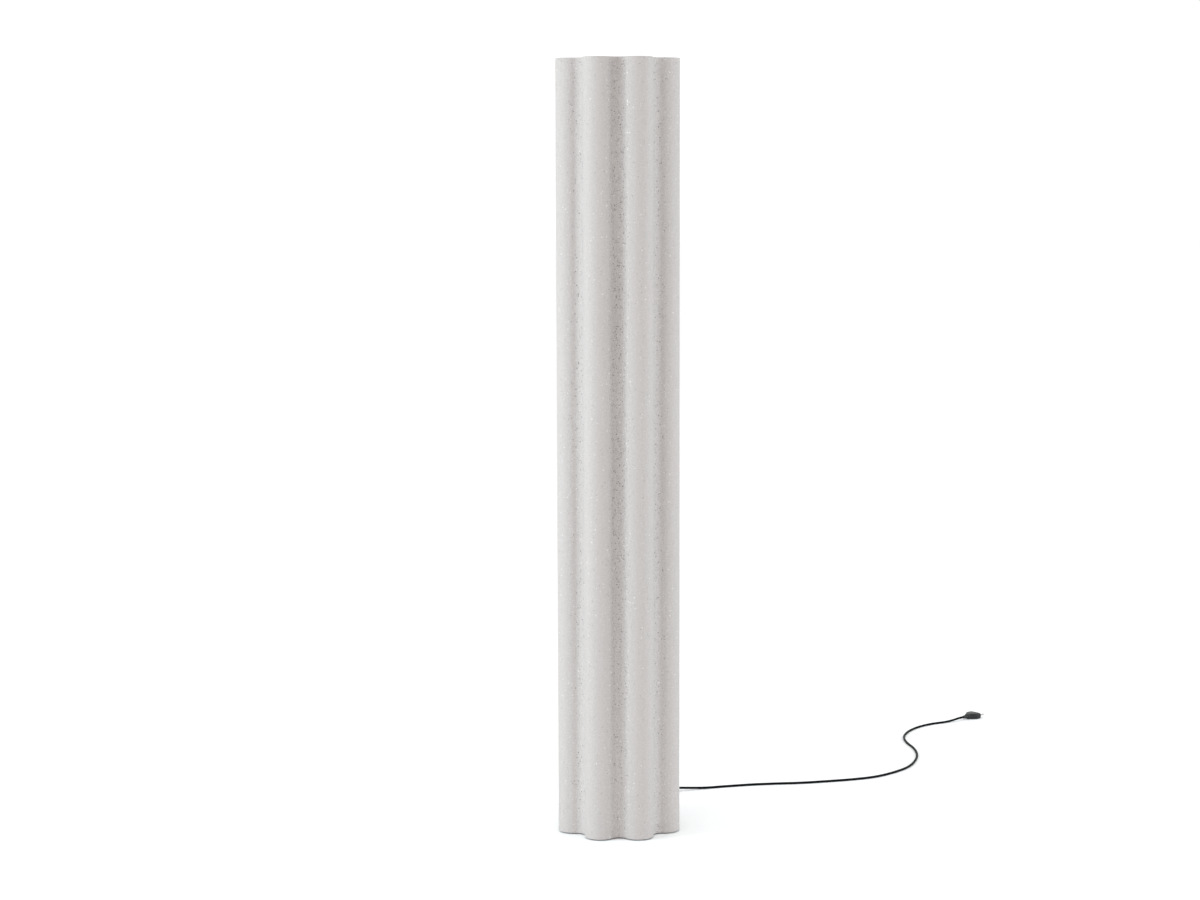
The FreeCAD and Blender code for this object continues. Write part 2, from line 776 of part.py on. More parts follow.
def pole_parts():
    tube_out = cylinder("pole_outside", "pole_radius", f"{POLE_TOP} - {PLATE_TOP}", z=PLATE_TOP)
    tools = [cylinder("pole_inside", POLE_BORE, "overall_height")]
    tools.append(side_hole("pole_entry", GROMMET_BODY + " + hole_clearance", LEAD_ENTRY, "90"))
    for k in range(int(value("station_count"))):
        z, angle = station(k)
        tools.append(side_hole(
            f"pole_exit_{k}", GROMMET_BODY + " + hole_clearance", f"{z} - lead_exit_drop", angle
        ))
    sub_part(cut("pole_form", tube_out, *tools), "pole")
    hub_top = "(flange_thickness + flange_hub_height)"
    flange = turned("flange_blank", [
        ("pole_radius + pole_clearance", "0"),
        ("flange_radius", "0"),
        ("flange_radius", "flange_thickness"),
        ("flange_hub_radius", "flange_thickness"),
        ("flange_hub_radius", hub_top),
        ("pole_radius + pole_clearance", hub_top),
    ])
    place(flange, z=PLATE_TOP)
    spots = list(around("flange_screw_count", "flange_screw_circle_radius", "30"))
    tools = [
        cylinder(f"flange_hole_{k}", LARGE_HOLE, "flange_thickness", x=x, y=y, z=PLATE_TOP)
        for k, (x, y) in enumerate(spots)
    ]
    tools.append(side_hole("flange_set_hole", SMALL_HOLE, FLANGE_SET_HEIGHT, "0"))
    sub_part(cut("flange_form", flange, *tools), "pole_flange")
    screws(
        "flange_screws", "large", "flange_thickness + flange_screw_bite",
        [(x, y, f"{PLATE_TOP} + flange_thickness") for x, y in spots],
    )
    bodies = [grommet("grommet_entry", LEAD_ENTRY, "90")]
    for k in range(int(value("station_count"))):
        z, angle = station(k)
        bodies.append(grommet(f"grommet_exit_{k}", f"{z} - lead_exit_drop", angle))
    sub_part(group("grommet_group", bodies), "pole_grommets")


def station(k):
    """The height of a lamp station on the pole, and the way in which its arm points."""
    return f"(station_first_height + {k} * station_spacing)", f"({k} * station_turn)"


def side_hole(name, radius, z, angle):
    """A round tool that runs outward from the pole's axis at a height."""
    drill = cylinder(name + "_drill", radius, "lobe_tip_radius")
    place(drill, axis=(0, 1, 0), angle="90")
    return place(carried(name, drill), z=z, angle=angle)


def set_screw(name, reach, z, angle):
    """A headless screw from the pole's surface to the outside of the hub or collar round it."""
    start = "(pole_radius + pole_clearance)"
    body = cylinder(name + "_body", "small_screw_radius", f"{reach} - {start}")
    place(body, x=start, axis=(0, 1, 0), angle="90")
    return place(carried(name, body), z=z, angle=angle)


def grommet(name, z, angle):
    """A bush through the pole's wall, its flange outside, with a lead through it."""
    start = "(pole_radius - pole_wall - grommet_wall)"
    flange_start = "(pole_radius + pole_clearance)"
    end = f"({flange_start} + grommet_flange_thickness)"
    bush = turned(name + "_turned", [
        (LEAD_HOLE, start),
        (GROMMET_BODY, start),
        (GROMMET_BODY, flange_start),
        ("grommet_flange_radius", flange_start),
        ("grommet_flange_radius", end),
        (LEAD_HOLE, end),
    ])
    place(bush, axis=(0, 1, 0), angle="90")
    return place(carried(name, bush), z=z, angle=angle)


def nut(name, x, y, z):
    blank = doc.addObject("Part::Prism", name + "_blank")
    bind(blank, "Circumradius", "nut_width / 2 / cos(30)")
    bind(blank, "Height", "nut_height")
    place(blank, x, y, z)
    hole = cylinder(name + "_hole", "nipple_radius + hole_clearance", "nut_height", x=x, y=y, z=z)
    return cut(name, blank, hole)


def station_parts():
    nipples, nuts, inserts, contacts = [], [], [], []
    set_screws = [set_screw("flange_set_screw", "flange_hub_radius", FLANGE_SET_HEIGHT, "0")]
    for k in range(int(value("station_count"))):
        n = k + 1
        z, angle = station(k)
        x, y = f"(arm_reach * cos{angle})", f"(arm_reach * sin{angle})"
        seat = f"({z} + arm_thickness)"
        collar = cylinder(f"arm_collar_{n}", "arm_collar_radius", "arm_collar_height")
        bar = box(f"arm_bar_{n}", "arm_reach", "arm_width", "arm_thickness", x="arm_reach / 2")
        end = cylinder(f"arm_end_{n}", "arm_end_radius", "arm_thickness", x="arm_reach")
        blank = fuse(f"arm_blank_{n}", collar, bar, end)
        pole_hole = cylinder(f"arm_pole_hole_{n}", "pole_radius + pole_clearance", "arm_collar_height")
        nipple_hole = cylinder(
            f"arm_nipple_hole_{n}", "nipple_radius + hole_clearance", "arm_thickness", x="arm_reach"
        )
        set_height = "((arm_thickness + arm_collar_height) / 2)"
        set_hole = side_hole(f"arm_set_hole_{n}", SMALL_HOLE, set_height, "180")
        arm = cut(f"arm_form_{n}", blank, pole_hole, nipple_hole, set_hole)
        sub_part(place(arm, z=z, angle=angle), f"lamp_arm_{n}")
        set_screws.append(set_screw(
            f"arm_set_screw_{n}", "arm_collar_radius", f"{z} + {set_height}", f"{angle} + 180"
        ))
        foot = f"({z} - nipple_below)"
        rise = "(nipple_below + arm_thickness + nipple_above)"
        outside = cylinder(f"nipple_outside_{n}", "nipple_radius", rise, x=x, y=y, z=foot)
        inside = cylinder(f"nipple_inside_{n}", "nipple_bore_radius", rise, x=x, y=y, z=foot)
        nipples.append(cut(f"nipple_{n}", outside, inside))
        nuts.append(nut(f"nut_below_{n}", x, y, f"{z} - nut_height"))
        nuts.append(nut(f"nut_above_{n}", x, y, f"{seat} + holder_floor"))
        inner = "(holder_radius - holder_wall)"
        ledge = "(holder_radius - 2 * holder_wall)"
        cap = turned(f"holder_cap_form_{n}", [
            ("nipple_radius + hole_clearance", "0"),
            ("holder_foot_radius", "0"),
            ("holder_radius", "holder_cone_height"),
            ("holder_radius", "holder_cap_height"),
            (inner, "holder_cap_height"),
            (inner, HOLDER_SEAT),
            (ledge, HOLDER_SEAT),
            (ledge, "holder_cone_height"),
            ("holder_foot_radius - holder_wall / 2", "holder_floor"),
            ("nipple_radius + hole_clearance", "holder_floor"),
        ])
        sub_part(place(cap, x, y, seat), f"holder_cap_{n}")
        barrel_top = "(holder_cap_height + holder_barrel_height)"
        barrel = turned(f"holder_barrel_form_{n}", [
            (inner, "holder_cap_height"),
            ("holder_radius", "holder_cap_height"),
            ("holder_radius", barrel_top),
            ("holder_mouth_radius", barrel_top),
            ("holder_mouth_radius", f"{barrel_top} - holder_wall"),
            (inner, f"{barrel_top} - holder_wall"),
        ])
        sub_part(place(barrel, x, y, seat), f"holder_barrel_{n}")
        inserts.append(cylinder(
            f"insert_{n}", f"{inner} - hole_clearance", "insert_thickness",
            x=x, y=y, z=f"{seat} + {HOLDER_SEAT}",
        ))
        shell_bore = "(bulb_cap_radius + bulb_clearance)"
        shell_foot = f"({seat} + {INSERT_TOP})"
        shell_out = cylinder(
            f"shell_outside_{n}", f"{shell_bore} + screw_shell_wall", "screw_shell_height",
            x=x, y=y, z=shell_foot,
        )
        shell_in = cylinder(
            f"shell_inside_{n}", shell_bore, "screw_shell_height", x=x, y=y, z=shell_foot
        )
        sub_part(cut(f"shell_form_{n}", shell_out, shell_in), f"holder_screw_shell_{n}")
        contacts.append(cylinder(
            f"contact_{n}", "contact_radius", "contact_height", x=x, y=y, z=shell_foot
        ))
        bulb(n, x, y, f"({seat} + {BULB_FOOT})")
    sub_part(group("nipple_group", nipples), "threaded_nipples")
    sub_part(group("nut_group", nuts), "nipple_nuts")
    sub_part(group("insert_group", inserts), "holder_inserts")
    sub_part(group("contact_group", contacts), "centre_contacts")
    sub_part(group("set_screw_group", set_screws), "set_screws")


def bulb(n, x, y, z):
    inner = "(bulb_cap_radius - screw_shell_wall)"
    cap = turned(f"bulb_cap_form_{n}", [
        ("0", "0"),
        ("bulb_tip_radius", "0"),
        ("bulb_tip_radius", "bulb_tip_height"),
        ("bulb_cap_radius", "bulb_tip_height"),
        ("bulb_cap_radius", GLOBE_FOOT),
        (inner, GLOBE_FOOT),
        (inner, "bulb_tip_height + bulb_cap_floor"),
        ("0", "bulb_tip_height + bulb_cap_floor"),
    ])
    sub_part(place(cap, x, y, z), f"bulb_cap_{n}")
    glass_foot = f"({z} + {GLOBE_FOOT})"
    below_middle = "sqrt(pow(globe_radius; 2) - pow(globe_shoulder_radius; 2))"
    cone_top = f"(globe_rise - {below_middle})"
    inner_globe = "(globe_radius - globe_wall)"
    inner_shoulder = f"sqrt(pow({inner_globe}; 2) - pow({below_middle}; 2))"
    inner_neck = "(globe_neck_radius - globe_wall)"
    at = {"x": x, "y": y, "z": glass_foot}
    middle = {"x": x, "y": y, "z": f"{glass_foot} + globe_rise"}
    outside = fuse(
        f"globe_outside_{n}",
        cone(f"globe_cone_{n}", "globe_neck_radius", "globe_shoulder_radius", cone_top, **at),
        sphere(f"globe_ball_{n}", "globe_radius", **middle),
    )
    inside = fuse(
        f"globe_inside_{n}",
        cone(f"globe_inner_cone_{n}", inner_neck, inner_shoulder, cone_top, **at),
        sphere(f"globe_inner_ball_{n}", inner_globe, **middle),
    )
    sub_part(cut(f"globe_form_{n}", outside, inside), f"bulb_globe_{n}")
    plate = f"{inner_neck} - hole_clearance"
    parts = [
        cylinder(f"stem_foot_{n}", plate, "stem_plate_thickness"),
        cylinder(f"stem_{n}", "stem_radius", "stem_height"),
        cylinder(f"stem_top_{n}", "stem_plate_radius", "stem_plate_thickness", z="stem_height"),
    ]
    for k, (rod_x, rod_y) in enumerate(around("filament_count", "filament_circle_radius", "0")):
        parts.append(cylinder(
            f"filament_{n}_{k}", "filament_radius", "filament_length + stem_plate_thickness",
            x=rod_x, y=rod_y, z="stem_height",
        ))
    sub_part(place(fuse(f"light_engine_form_{n}", *parts), x, y, glass_foot), f"bulb_filaments_{n}")


def terminal_parts():
    foot = PLATE_TOP
    middle = "terminal_centre_back"
    outside = box("terminal_outside", "terminal_length", "terminal_width", "terminal_height",
                  y=middle, z=foot)
    inside = box(
        "terminal_inside", "terminal_length - 2 * terminal_wall", "terminal_width - 2 * terminal_wall",
        "terminal_height", y=middle, z=f"{foot} + terminal_wall",
    )
    hollow = cut("terminal_hollow", outside, inside)
    bosses, holes = [], []
    for k, side in enumerate(("", "-")):
        at = {"x": f"{side}{TERMINAL_SCREW_ACROSS}", "y": middle, "z": foot}
        bosses.append(cylinder(f"terminal_boss_{k}", "terminal_boss_radius", "terminal_height", **at))
        holes.append(cylinder(
            f"terminal_hole_{k}", SMALL_HOLE, "terminal_height + terminal_lid_thickness", **at
        ))
    holes.append(cylinder(
        "terminal_cord_hole", CORD_HOLE, "terminal_height / 2", y="block_centre_back", z=foot
    ))
    lead_hole = cylinder("terminal_lead_drill", LEAD_HOLE, "terminal_width / 2")
    place(lead_hole, y=BLOCK_FRONT, z=LEAD_HEIGHT, axis=(1, 0, 0), angle="90")
    holes.append(lead_hole)
    sub_part(cut("terminal_form", fuse("terminal_tray", hollow, *bosses), *holes), "terminal_box")
    lid_foot = f"({foot} + terminal_height)"
    lid = box("terminal_lid_blank", "terminal_length", "terminal_width", "terminal_lid_thickness",
              y=middle, z=lid_foot)
    lid_holes = [
        cylinder(
            f"terminal_lid_hole_{k}", SMALL_HOLE, "terminal_lid_thickness",
            x=f"{side}{TERMINAL_SCREW_ACROSS}", y=middle, z=lid_foot,
        )
        for k, side in enumerate(("", "-"))
    ]
    sub_part(cut("terminal_lid_form", lid, *lid_holes), "terminal_lid")
    sub_part(
        box("block_form", "block_length", "block_width", "block_height",
            y="block_centre_back", z=f"{foot} + terminal_wall"),
        "terminal_block",
    )
    screws(
        "terminal_screws", "small", "terminal_lid_thickness + terminal_height + terminal_screw_bite",
        [
            (f"{side}{TERMINAL_SCREW_ACROSS}", middle, f"{lid_foot} + terminal_lid_thickness")
            for side in ("", "-")
        ],
    )


def cord_exit_parts():
    relief = turned("relief_form", [
        (CORD_HOLE, "0"),
        ("relief_body_radius", "0"),
        ("relief_body_radius", "relief_body_length"),
        ("relief_root_radius", "relief_body_length"),
        ("relief_tip_radius", "relief_length"),
        (CORD_HOLE, "relief_length"),
    ])
    sub_part(
        place(relief, y=RELIEF_START, z=CORD_HEIGHT, axis=(1, 0, 0), angle="-90"),
        "strain_relief",
    )
    strap = box("strap_blank", "strap_length", "strap_width", "strap_thickness",
                y=STRAP_BACK, z="foot_height")
    spots = [(f"{side}strap_screw_across", STRAP_BACK, "foot_height") for side in ("", "-")]
    holes = [
        cylinder(f"strap_hole_{k}", SMALL_HOLE, "strap_thickness", x=x, y=y, z=z)
        for k, (x, y, z) in enumerate(spots)
    ]
    sub_part(cut("strap_form", strap, *holes), "cord_strap")
    screws("cord_strap_screws", "small", "strap_screw_bite", spots, up=True)
    block_foot = f"{PLATE_TOP} + terminal_wall"
    feature("supply_lead", held_lead(
        "supply_lead",
        [("0", RELIEF_END, CORD_HEIGHT), ("0", "block_centre_back", CORD_HEIGHT),
         ("0", "block_centre_back", block_foot)],
        ["lead_bend_radius"], "cord_radius",
    ))


def lead_parts():
    """The lead up the pole in stretches, a splice at each station and a branch from each splice."""
    half = "splice_length / 2"
    trunks, branches, splices = [], [], []
    below = None
    for k in range(int(value("station_count"))):
        n = k + 1
        z, angle = station(k)
        exit_height = f"({z} - lead_exit_drop)"
        if below is None:
            points = [
                ("0", BLOCK_FRONT, LEAD_HEIGHT),
                ("0", "lead_rise_back", LEAD_HEIGHT),
                ("0", "lead_rise_back", LEAD_ENTRY),
                ("0", "0", LEAD_ENTRY),
                ("0", "0", f"{exit_height} - {half}"),
            ]
            radii = ["lead_bend_radius", "lead_bend_radius", "lead_tight_bend_radius"]
            trunks.append(held_lead(f"pole_lead_{n}", points, radii))
        else:
            points = [("0", "0", f"{below} + {half}"), ("0", "0", f"{exit_height} - {half}")]
            trunks.append(held_lead(f"pole_lead_{n}", points, []))
        below = exit_height
        splices.append(box(
            f"splice_{n}", "splice_width", "splice_width", "splice_length", z=f"{exit_height} - {half}"
        ))
        reach = f"cos{angle}"
        points = [
            (f"splice_width / 2 * {reach}", "0", exit_height),
            (f"arm_reach * {reach}", "0", exit_height),
            (f"arm_reach * {reach}", "0", f"{z} + arm_thickness + {HOLDER_SEAT}"),
        ]
        branches.append(held_lead(f"branch_lead_{n}", points, ["lead_bend_radius"]))
    feature("pole_leads", Part.makeCompound(trunks))
    feature("holder_leads", Part.makeCompound(branches))
    sub_part(group("splice_group", splices), "lead_splices")


def coil_half_turns():
    """The ends of the coil's half turns: they spiral in, climb a layer, and spiral out above.

    Half turn k runs from spots[k] to spots[k + 1], and each one starts and ends along Y. The
    climb comes in by half a pitch like the ones before it, and the next one steps out a pitch.
    """
    middle = Vector(-value("coil_centre_left"), value(f"{RELIEF_END} + coil_centre_back"), 0)
    low = value("cord_radius + coil_floor_gap")
    pitch = value("coil_pitch")
    inward = int(value("coil_inward_half_turns"))
    outward = int(value("coil_outward_half_turns"))
    lower = [value("coil_radius") - k * pitch / 2 for k in range(inward + 1)]
    innermost = lower[-1] - pitch / 2
    upper = [innermost] + [innermost + pitch + k * pitch / 2 for k in range(outward)]
    spots = []
    for k, radius in enumerate(lower + upper):
        side = 1 if k % 2 == 0 else -1
        level = low if k <= inward else low + pitch
        spots.append(middle + Vector(side * radius, 0, level))
    return spots


def coil_path():
    """The coil's wire, with a straight end of one cord diameter each way, and points along it."""
    spots = coil_half_turns()
    straight = Vector(0, value("2 * cord_radius"), 0)
    edges = [Part.LineSegment(spots[0] - straight, spots[0]).toShape()]
    points = []
    for k, (here, after) in enumerate(zip(spots, spots[1:])):
        middle = (here + after) / 2
        size = (after - here).Length / 2
        crown = Vector(0, size if k % 2 == 0 else -size, 0)
        edges.append(Part.Arc(here, middle + crown, after).toShape())
        for step in range(COIL_STEPS):
            turn = math.pi * step / COIL_STEPS
            points.append(middle + (here - middle) * math.cos(turn) + crown * math.sin(turn))
    edges.append(Part.LineSegment(spots[-1], spots[-1] + straight).toShape())
    return Part.Wire(edges), points


def coil_parts():
    wire, points = coil_path()
    feature("cord_coil", tube("cord_coil", wire, value("cord_radius")))
    gap = min(
        (points[i] - points[j]).Length
        for i in range(len(points))
        for j in range(i + COIL_STEPS, len(points))
    )
    print(f"cord_coil: least gap to itself {gap - value('2 * cord_radius'):.2f} mm")
    outer = "(coil_radius - coil_pitch / 2 + cord_radius + tie_side_clearance)"
    inner = (
        "(coil_radius - (coil_inward_half_turns + 1) * coil_pitch / 2"
        " - cord_radius - tie_side_clearance)"
    )
    foot = "(coil_floor_gap - tie_lift_clearance)"
    rise = "(2 * cord_radius + coil_pitch + 2 * tie_lift_clearance)"
    centre = f"-coil_centre_left - ({outer} + {inner}) / 2"
    hole = box("tie_hole", f"{outer} - {inner}", "2 * tie_width", rise,
               x=centre, y=f"{RELIEF_END} + coil_centre_back", z=foot)
    band = box(
        "tie_band", f"{outer} - {inner} + 2 * tie_thickness", "tie_width",
        f"{rise} + 2 * tie_thickness", x=centre, y=f"{RELIEF_END} + coil_centre_back",
        z=f"{foot} - tie_thickness",
    )
    sub_part(cut("tie_form", band, hole), "cord_tie")


def rounded_slab(name, length, width, corner, height, z="0", edge=None):
    """An upright slab with round corners, and with a round upper edge if one is named."""
    body = doc.addObject("PartDesign::Body", name)
    sketch = new_sketch(body, name + "_outline", "XY_Plane")
    a, b, r = value(f"({length}) / 2"), value(f"({width}) / 2"), value(corner)
    up = Vector(0, 0, 1)
    lines = [((a, -b + r), (a, b - r)), ((a - r, b), (-a + r, b)),
             ((-a, b - r), (-a, -b + r)), ((-a + r, -b), (a - r, -b))]
    corners = [(a - r, b - r), (-a + r, b - r), (-a + r, -b + r), (a - r, -b + r)]
    for k in range(4):
        start, end = lines[k]
        sketch.addGeometry(Part.LineSegment(Vector(*start, 0), Vector(*end, 0)))
        turn = math.pi / 2 * k
        circle = Part.Circle(Vector(*corners[k], 0), up, r)
        sketch.addGeometry(Part.ArcOfCircle(circle, turn, turn + math.pi / 2))
    for k in range(4):
        line, arc = 2 * k, 2 * k + 1
        sketch.addConstraint(Sketcher.Constraint("Tangent", line, 2, arc, 1))
        sketch.addConstraint(Sketcher.Constraint("Tangent", arc, 2, (line + 2) % 8, 1))
    for kind, line in (("Vertical", 0), ("Horizontal", 2), ("Vertical", 4), ("Horizontal", 6)):
        sketch.addConstraint(Sketcher.Constraint(kind, line))
    for k in (3, 5, 7):
        sketch.addConstraint(Sketcher.Constraint("Equal", 1, k))
    for rule, size, text in (
        (("Radius", 1), r, corner),
        (("Distance", 0, 1, 4), 2 * a, length),
        (("Distance", 2, 1, 6), 2 * b, width),
        (("DistanceX", -1, 1, 0, 1), a, f"({length}) / 2"),
        (("DistanceY", -1, 1, 2, 1), b, f"({width}) / 2"),
    ):
        number = sketch.addConstraint(Sketcher.Constraint(*rule, size))
        bind(sketch, f"Constraints[{number}]", text)
    pad = body.newObject("PartDesign::Pad", name + "_pad")
    pad.Profile = sketch
    bind(pad, "Length", height)
    body.Tip = pad
    if edge:
        doc.recompute()
        top = max(range(len(pad.Shape.Faces)), key=lambda k: pad.Shape.Faces[k].CenterOfMass.z)
        fillet = body.newObject("PartDesign::Fillet", name + "_edge")
        fillet.Base = (pad, [f"Face{top + 1}"])
        bind(fillet, "Radius", edge)
        body.Tip = fillet
    return place(body, z=z)


def on_switch(item):
    """Carries a piece, made about the switch's own middle, to the switch's place on the floor."""
    return place(item, "switch_right", f"{RELIEF_END} + switch_back", angle="switch_heading")


def lengthwise(name, radius, length, start, z):
    """A round bar along X."""
    bar = cylinder(name + "_bar", radius, length)
    place(bar, x=start, z=z, axis=(0, 1, 0), angle="90")
    return bar


def sleeve(name):
    """The flexible sleeve round a cord's end: its thick end is at zero and its tip points along Z."""
    return turned(name, [
        (CORD_HOLE, "0"),
        ("sleeve_root_radius", "0"),
        ("sleeve_tip_radius", "sleeve_length"),
        (CORD_HOLE, "sleeve_length"),
    ])


def switch_parts():
    parting = "switch_parting_height"
    inner_length = "(switch_length - 2 * switch_wall)"
    inner_width = "(switch_width - 2 * switch_wall)"
    inner_corner = "(switch_corner_radius - switch_wall)"
    passage = lengthwise("switch_passage", CORD_HOLE, "2 * switch_length", "-switch_length", parting)
    spots = [
        (f"{a}switch_boss_along", f"{b}switch_boss_across") for a in ("", "-") for b in ("", "-")
    ]
    hole = "(switch_screw_radius + hole_clearance)"
    seat = "(switch_wall + switch_head_height)"

    lower = rounded_slab("switch_lower_blank", "switch_length", "switch_width",
                         "switch_corner_radius", parting)
    tray = rounded_slab("switch_lower_hollow", inner_length, inner_width, inner_corner,
                        parting, z="switch_wall")
    bosses, holes = [], []
    for k, (x, y) in enumerate(spots):
        bosses.append(cylinder(f"switch_post_{k}", "switch_boss_radius", parting, x=x, y=y))
        holes.append(cylinder(f"switch_post_hole_{k}", hole, parting, x=x, y=y))
        holes.append(cylinder(
            f"switch_head_hole_{k}", "switch_head_radius + hole_clearance", "switch_wall", x=x, y=y
        ))
    shell = fuse("switch_lower_shell", cut("switch_lower_cup", lower, tray), *bosses)
    sub_part(on_switch(cut("switch_lower_form", shell, passage, *holes)), "switch_lower_housing")

    upper_rise = f"(switch_height - {parting})"
    upper = rounded_slab("switch_upper_blank", "switch_length", "switch_width",
                         "switch_corner_radius", upper_rise, z=parting, edge="switch_edge_round")
    cavity = rounded_slab("switch_upper_hollow", inner_length, inner_width, inner_corner,
                          f"{upper_rise} - switch_wall", z=parting)
    bosses, holes = [], []
    for k, (x, y) in enumerate(spots):
        bosses.append(cylinder(
            f"switch_upper_post_{k}", "switch_boss_radius", f"{upper_rise} - switch_wall",
            x=x, y=y, z=parting,
        ))
        holes.append(cylinder(
            f"switch_upper_hole_{k}", hole, "switch_screw_bite + bore_spare", x=x, y=y, z=parting
        ))
    holes.append(cylinder(
        "switch_button_hole", "button_radius + button_clearance", "switch_height", z=parting
    ))
    inside = cut("switch_upper_cup", upper, cavity)
    shell = fuse("switch_upper_shell", inside, *bosses)
    passage = lengthwise("switch_upper_passage", CORD_HOLE, "2 * switch_length",
                         "-switch_length", parting)
    sub_part(on_switch(cut("switch_upper_form", shell, passage, *holes)), "switch_upper_housing")

    block = box("switch_block", "switch_contact_length", "switch_contact_width",
                "switch_contact_height", z="switch_wall")
    sub_part(on_switch(carried("switch_contact_form", block)), "switch_contact_block")
    made = [
        screw(f"switch_screw_{k}", "switch", f"{parting} - switch_wall + switch_screw_bite",
              x, y, "switch_wall", up=True)
        for k, (x, y) in enumerate(spots, start=1)
    ]
    sub_part(on_switch(group("switch_screw_group", made)), "switch_screws")

    flange_top = "(switch_height - switch_wall)"
    button_top = "(switch_height + button_proud)"
    cup_roof = f"({button_top} - button_wall)"
    flange_foot = f"({flange_top} - button_flange_thickness)"
    inner = "(button_radius - button_wall)"
    button = turned("button_form", [
        (inner, flange_foot),
        ("button_flange_radius", flange_foot),
        ("button_flange_radius", flange_top),
        ("button_radius", flange_top),
        ("button_radius", f"{button_top} - button_edge_round"),
        ("button_radius - button_edge_round", button_top),
        ("0", button_top),
        ("0", cup_roof),
        (inner, cup_roof),
    ])
    sub_part(on_switch(button), "switch_button")
    spring_foot = "(switch_wall + switch_contact_height)"
    wire = "spring_wire_radius"
    rise = value(f"{cup_roof} - {spring_foot} - 2 * {wire}")
    helix = Part.makeHelix(rise / value("spring_turns"), rise, value("spring_radius"))
    start = helix.Edges[0].valueAt(helix.Edges[0].FirstParameter)
    section = Part.Wire(Part.makeCircle(value(wire), start, Vector(0, 1, 0)))
    coil = Part.Wire(helix.Edges).makePipeShell([section], True, True)
    spring = doc.addObject("Part::Feature", "spring_form")
    spring.Shape = coil
    place(spring, z=f"{spring_foot} + {wire}")
    sub_part(on_switch(carried("spring_seated", spring)), "switch_spring")

    sleeves = []
    for k, (side, angle) in enumerate((("-", "-90"), ("", "90")), start=1):
        cone_form = sleeve(f"switch_sleeve_{k}")
        place(cone_form, x=f"{side}switch_length / 2", z=parting, axis=(0, 1, 0), angle=angle)
        sleeves.append(cone_form)
    sub_part(on_switch(group("switch_sleeve_group", sleeves)), "switch_sleeves")


def plug_parts():
    """The plug lies flat. Its pieces are made along X from the tip of its sleeve."""
    axis_height = "plug_thickness / 2"
    at = {"x": "plug_right", "y": f"{RELIEF_END} + plug_back", "angle": "plug_heading"}
    cone_form = sleeve("plug_sleeve_turned")
    place(cone_form, x="sleeve_length", z=axis_height, axis=(0, 1, 0), angle="-90")
    sub_part(place(carried("plug_sleeve_form", cone_form), **at), "plug_sleeve")
    back = "sleeve_length"
    front = "(sleeve_length + plug_length)"
    half = [
        (back, "plug_neck_width / 2"),
        (f"{back} + plug_waist_share * plug_length", "plug_waist_width / 2"),
        (f"{back} + plug_shoulder_share * plug_length", "plug_width / 2"),
        (front, "plug_width / 2"),
    ]
    outline = half + [(x, f"-{y}") for x, y in reversed(half)]
    blank = padded_outline("plug_blank", outline, "plug_thickness", edge="plug_edge_round")
    pins, sockets = [], []
    root_back = f"({front} - pin_root_length)"
    for k, side in enumerate(("", "-")):
        y = f"{side}pin_pitch / 2"
        ahead = {"y": y, "z": axis_height, "axis": (0, 1, 0), "angle": "90"}
        root = cylinder(f"plug_pin_root_{k}", "pin_root_radius", "pin_root_length")
        place(root, x=root_back, **ahead)
        rod = cylinder(f"plug_pin_rod_{k}", "pin_radius", "pin_length - pin_radius")
        place(rod, x=front, **ahead)
        tip = sphere(f"plug_pin_tip_{k}", "pin_radius", x=f"{front} + pin_length - pin_radius",
                     y=y, z=axis_height)
        pins.append(fuse(f"plug_pin_{k}", root, rod, tip))
        socket = cylinder(
            f"plug_socket_{k}", "pin_root_radius + hole_clearance", "pin_root_length + overrun_length"
        )
        sockets.append(place(socket, x=root_back, **ahead))
    sub_part(place(cut("plug_form", blank, *sockets), **at), "plug_body")
    sub_part(place(group("plug_pin_group", pins), **at), "plug_pins")


def write_parts():
    """Recomputes, checks every object and each sub-part's shape, and writes one file for each."""
    doc.recompute()
    for item in doc.Objects:
        if "Invalid" in item.State or "Error" in item.State:
            raise RuntimeError(f"{item.Name} failed: {item.State}")
    for item in sub_parts:
        if item.Shape.isNull() or not item.Shape.isValid() or item.Shape.Volume <= 0:
            raise RuntimeError(f"{item.Label} has no valid shape")
    os.makedirs("parts", exist_ok=True)
    for item in sub_parts:
        item.Shape.exportStep(f"parts/{item.Label}.step")
    print(len(sub_parts), "sub-parts written")


shade_parts()
finial_and_stud()
base_parts()
pole_parts()
station_parts()
terminal_parts()
cord_exit_parts()
lead_parts()
free_cord("cord_from_lamp", CORD_FROM_LAMP)
coil_parts()
free_cord("cord_to_switch", CORD_TO_SWITCH)
switch_parts()
free_cord("cord_to_plug", CORD_TO_PLUG)
plug_parts()
write_parts()
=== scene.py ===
# %% [markdown]
# # A fluted column lamp
#
# The lamp is a tall off-white tube with eight round lobes. It stands over a pole on a heavy
# plate, and a thin black cord runs away from it over the floor. The engineering model is loaded
# as a fixed frame, and this lesson dresses it: it draws the tube, the cord and the moulded pieces
# anew, and gives every other piece its finish.

import math

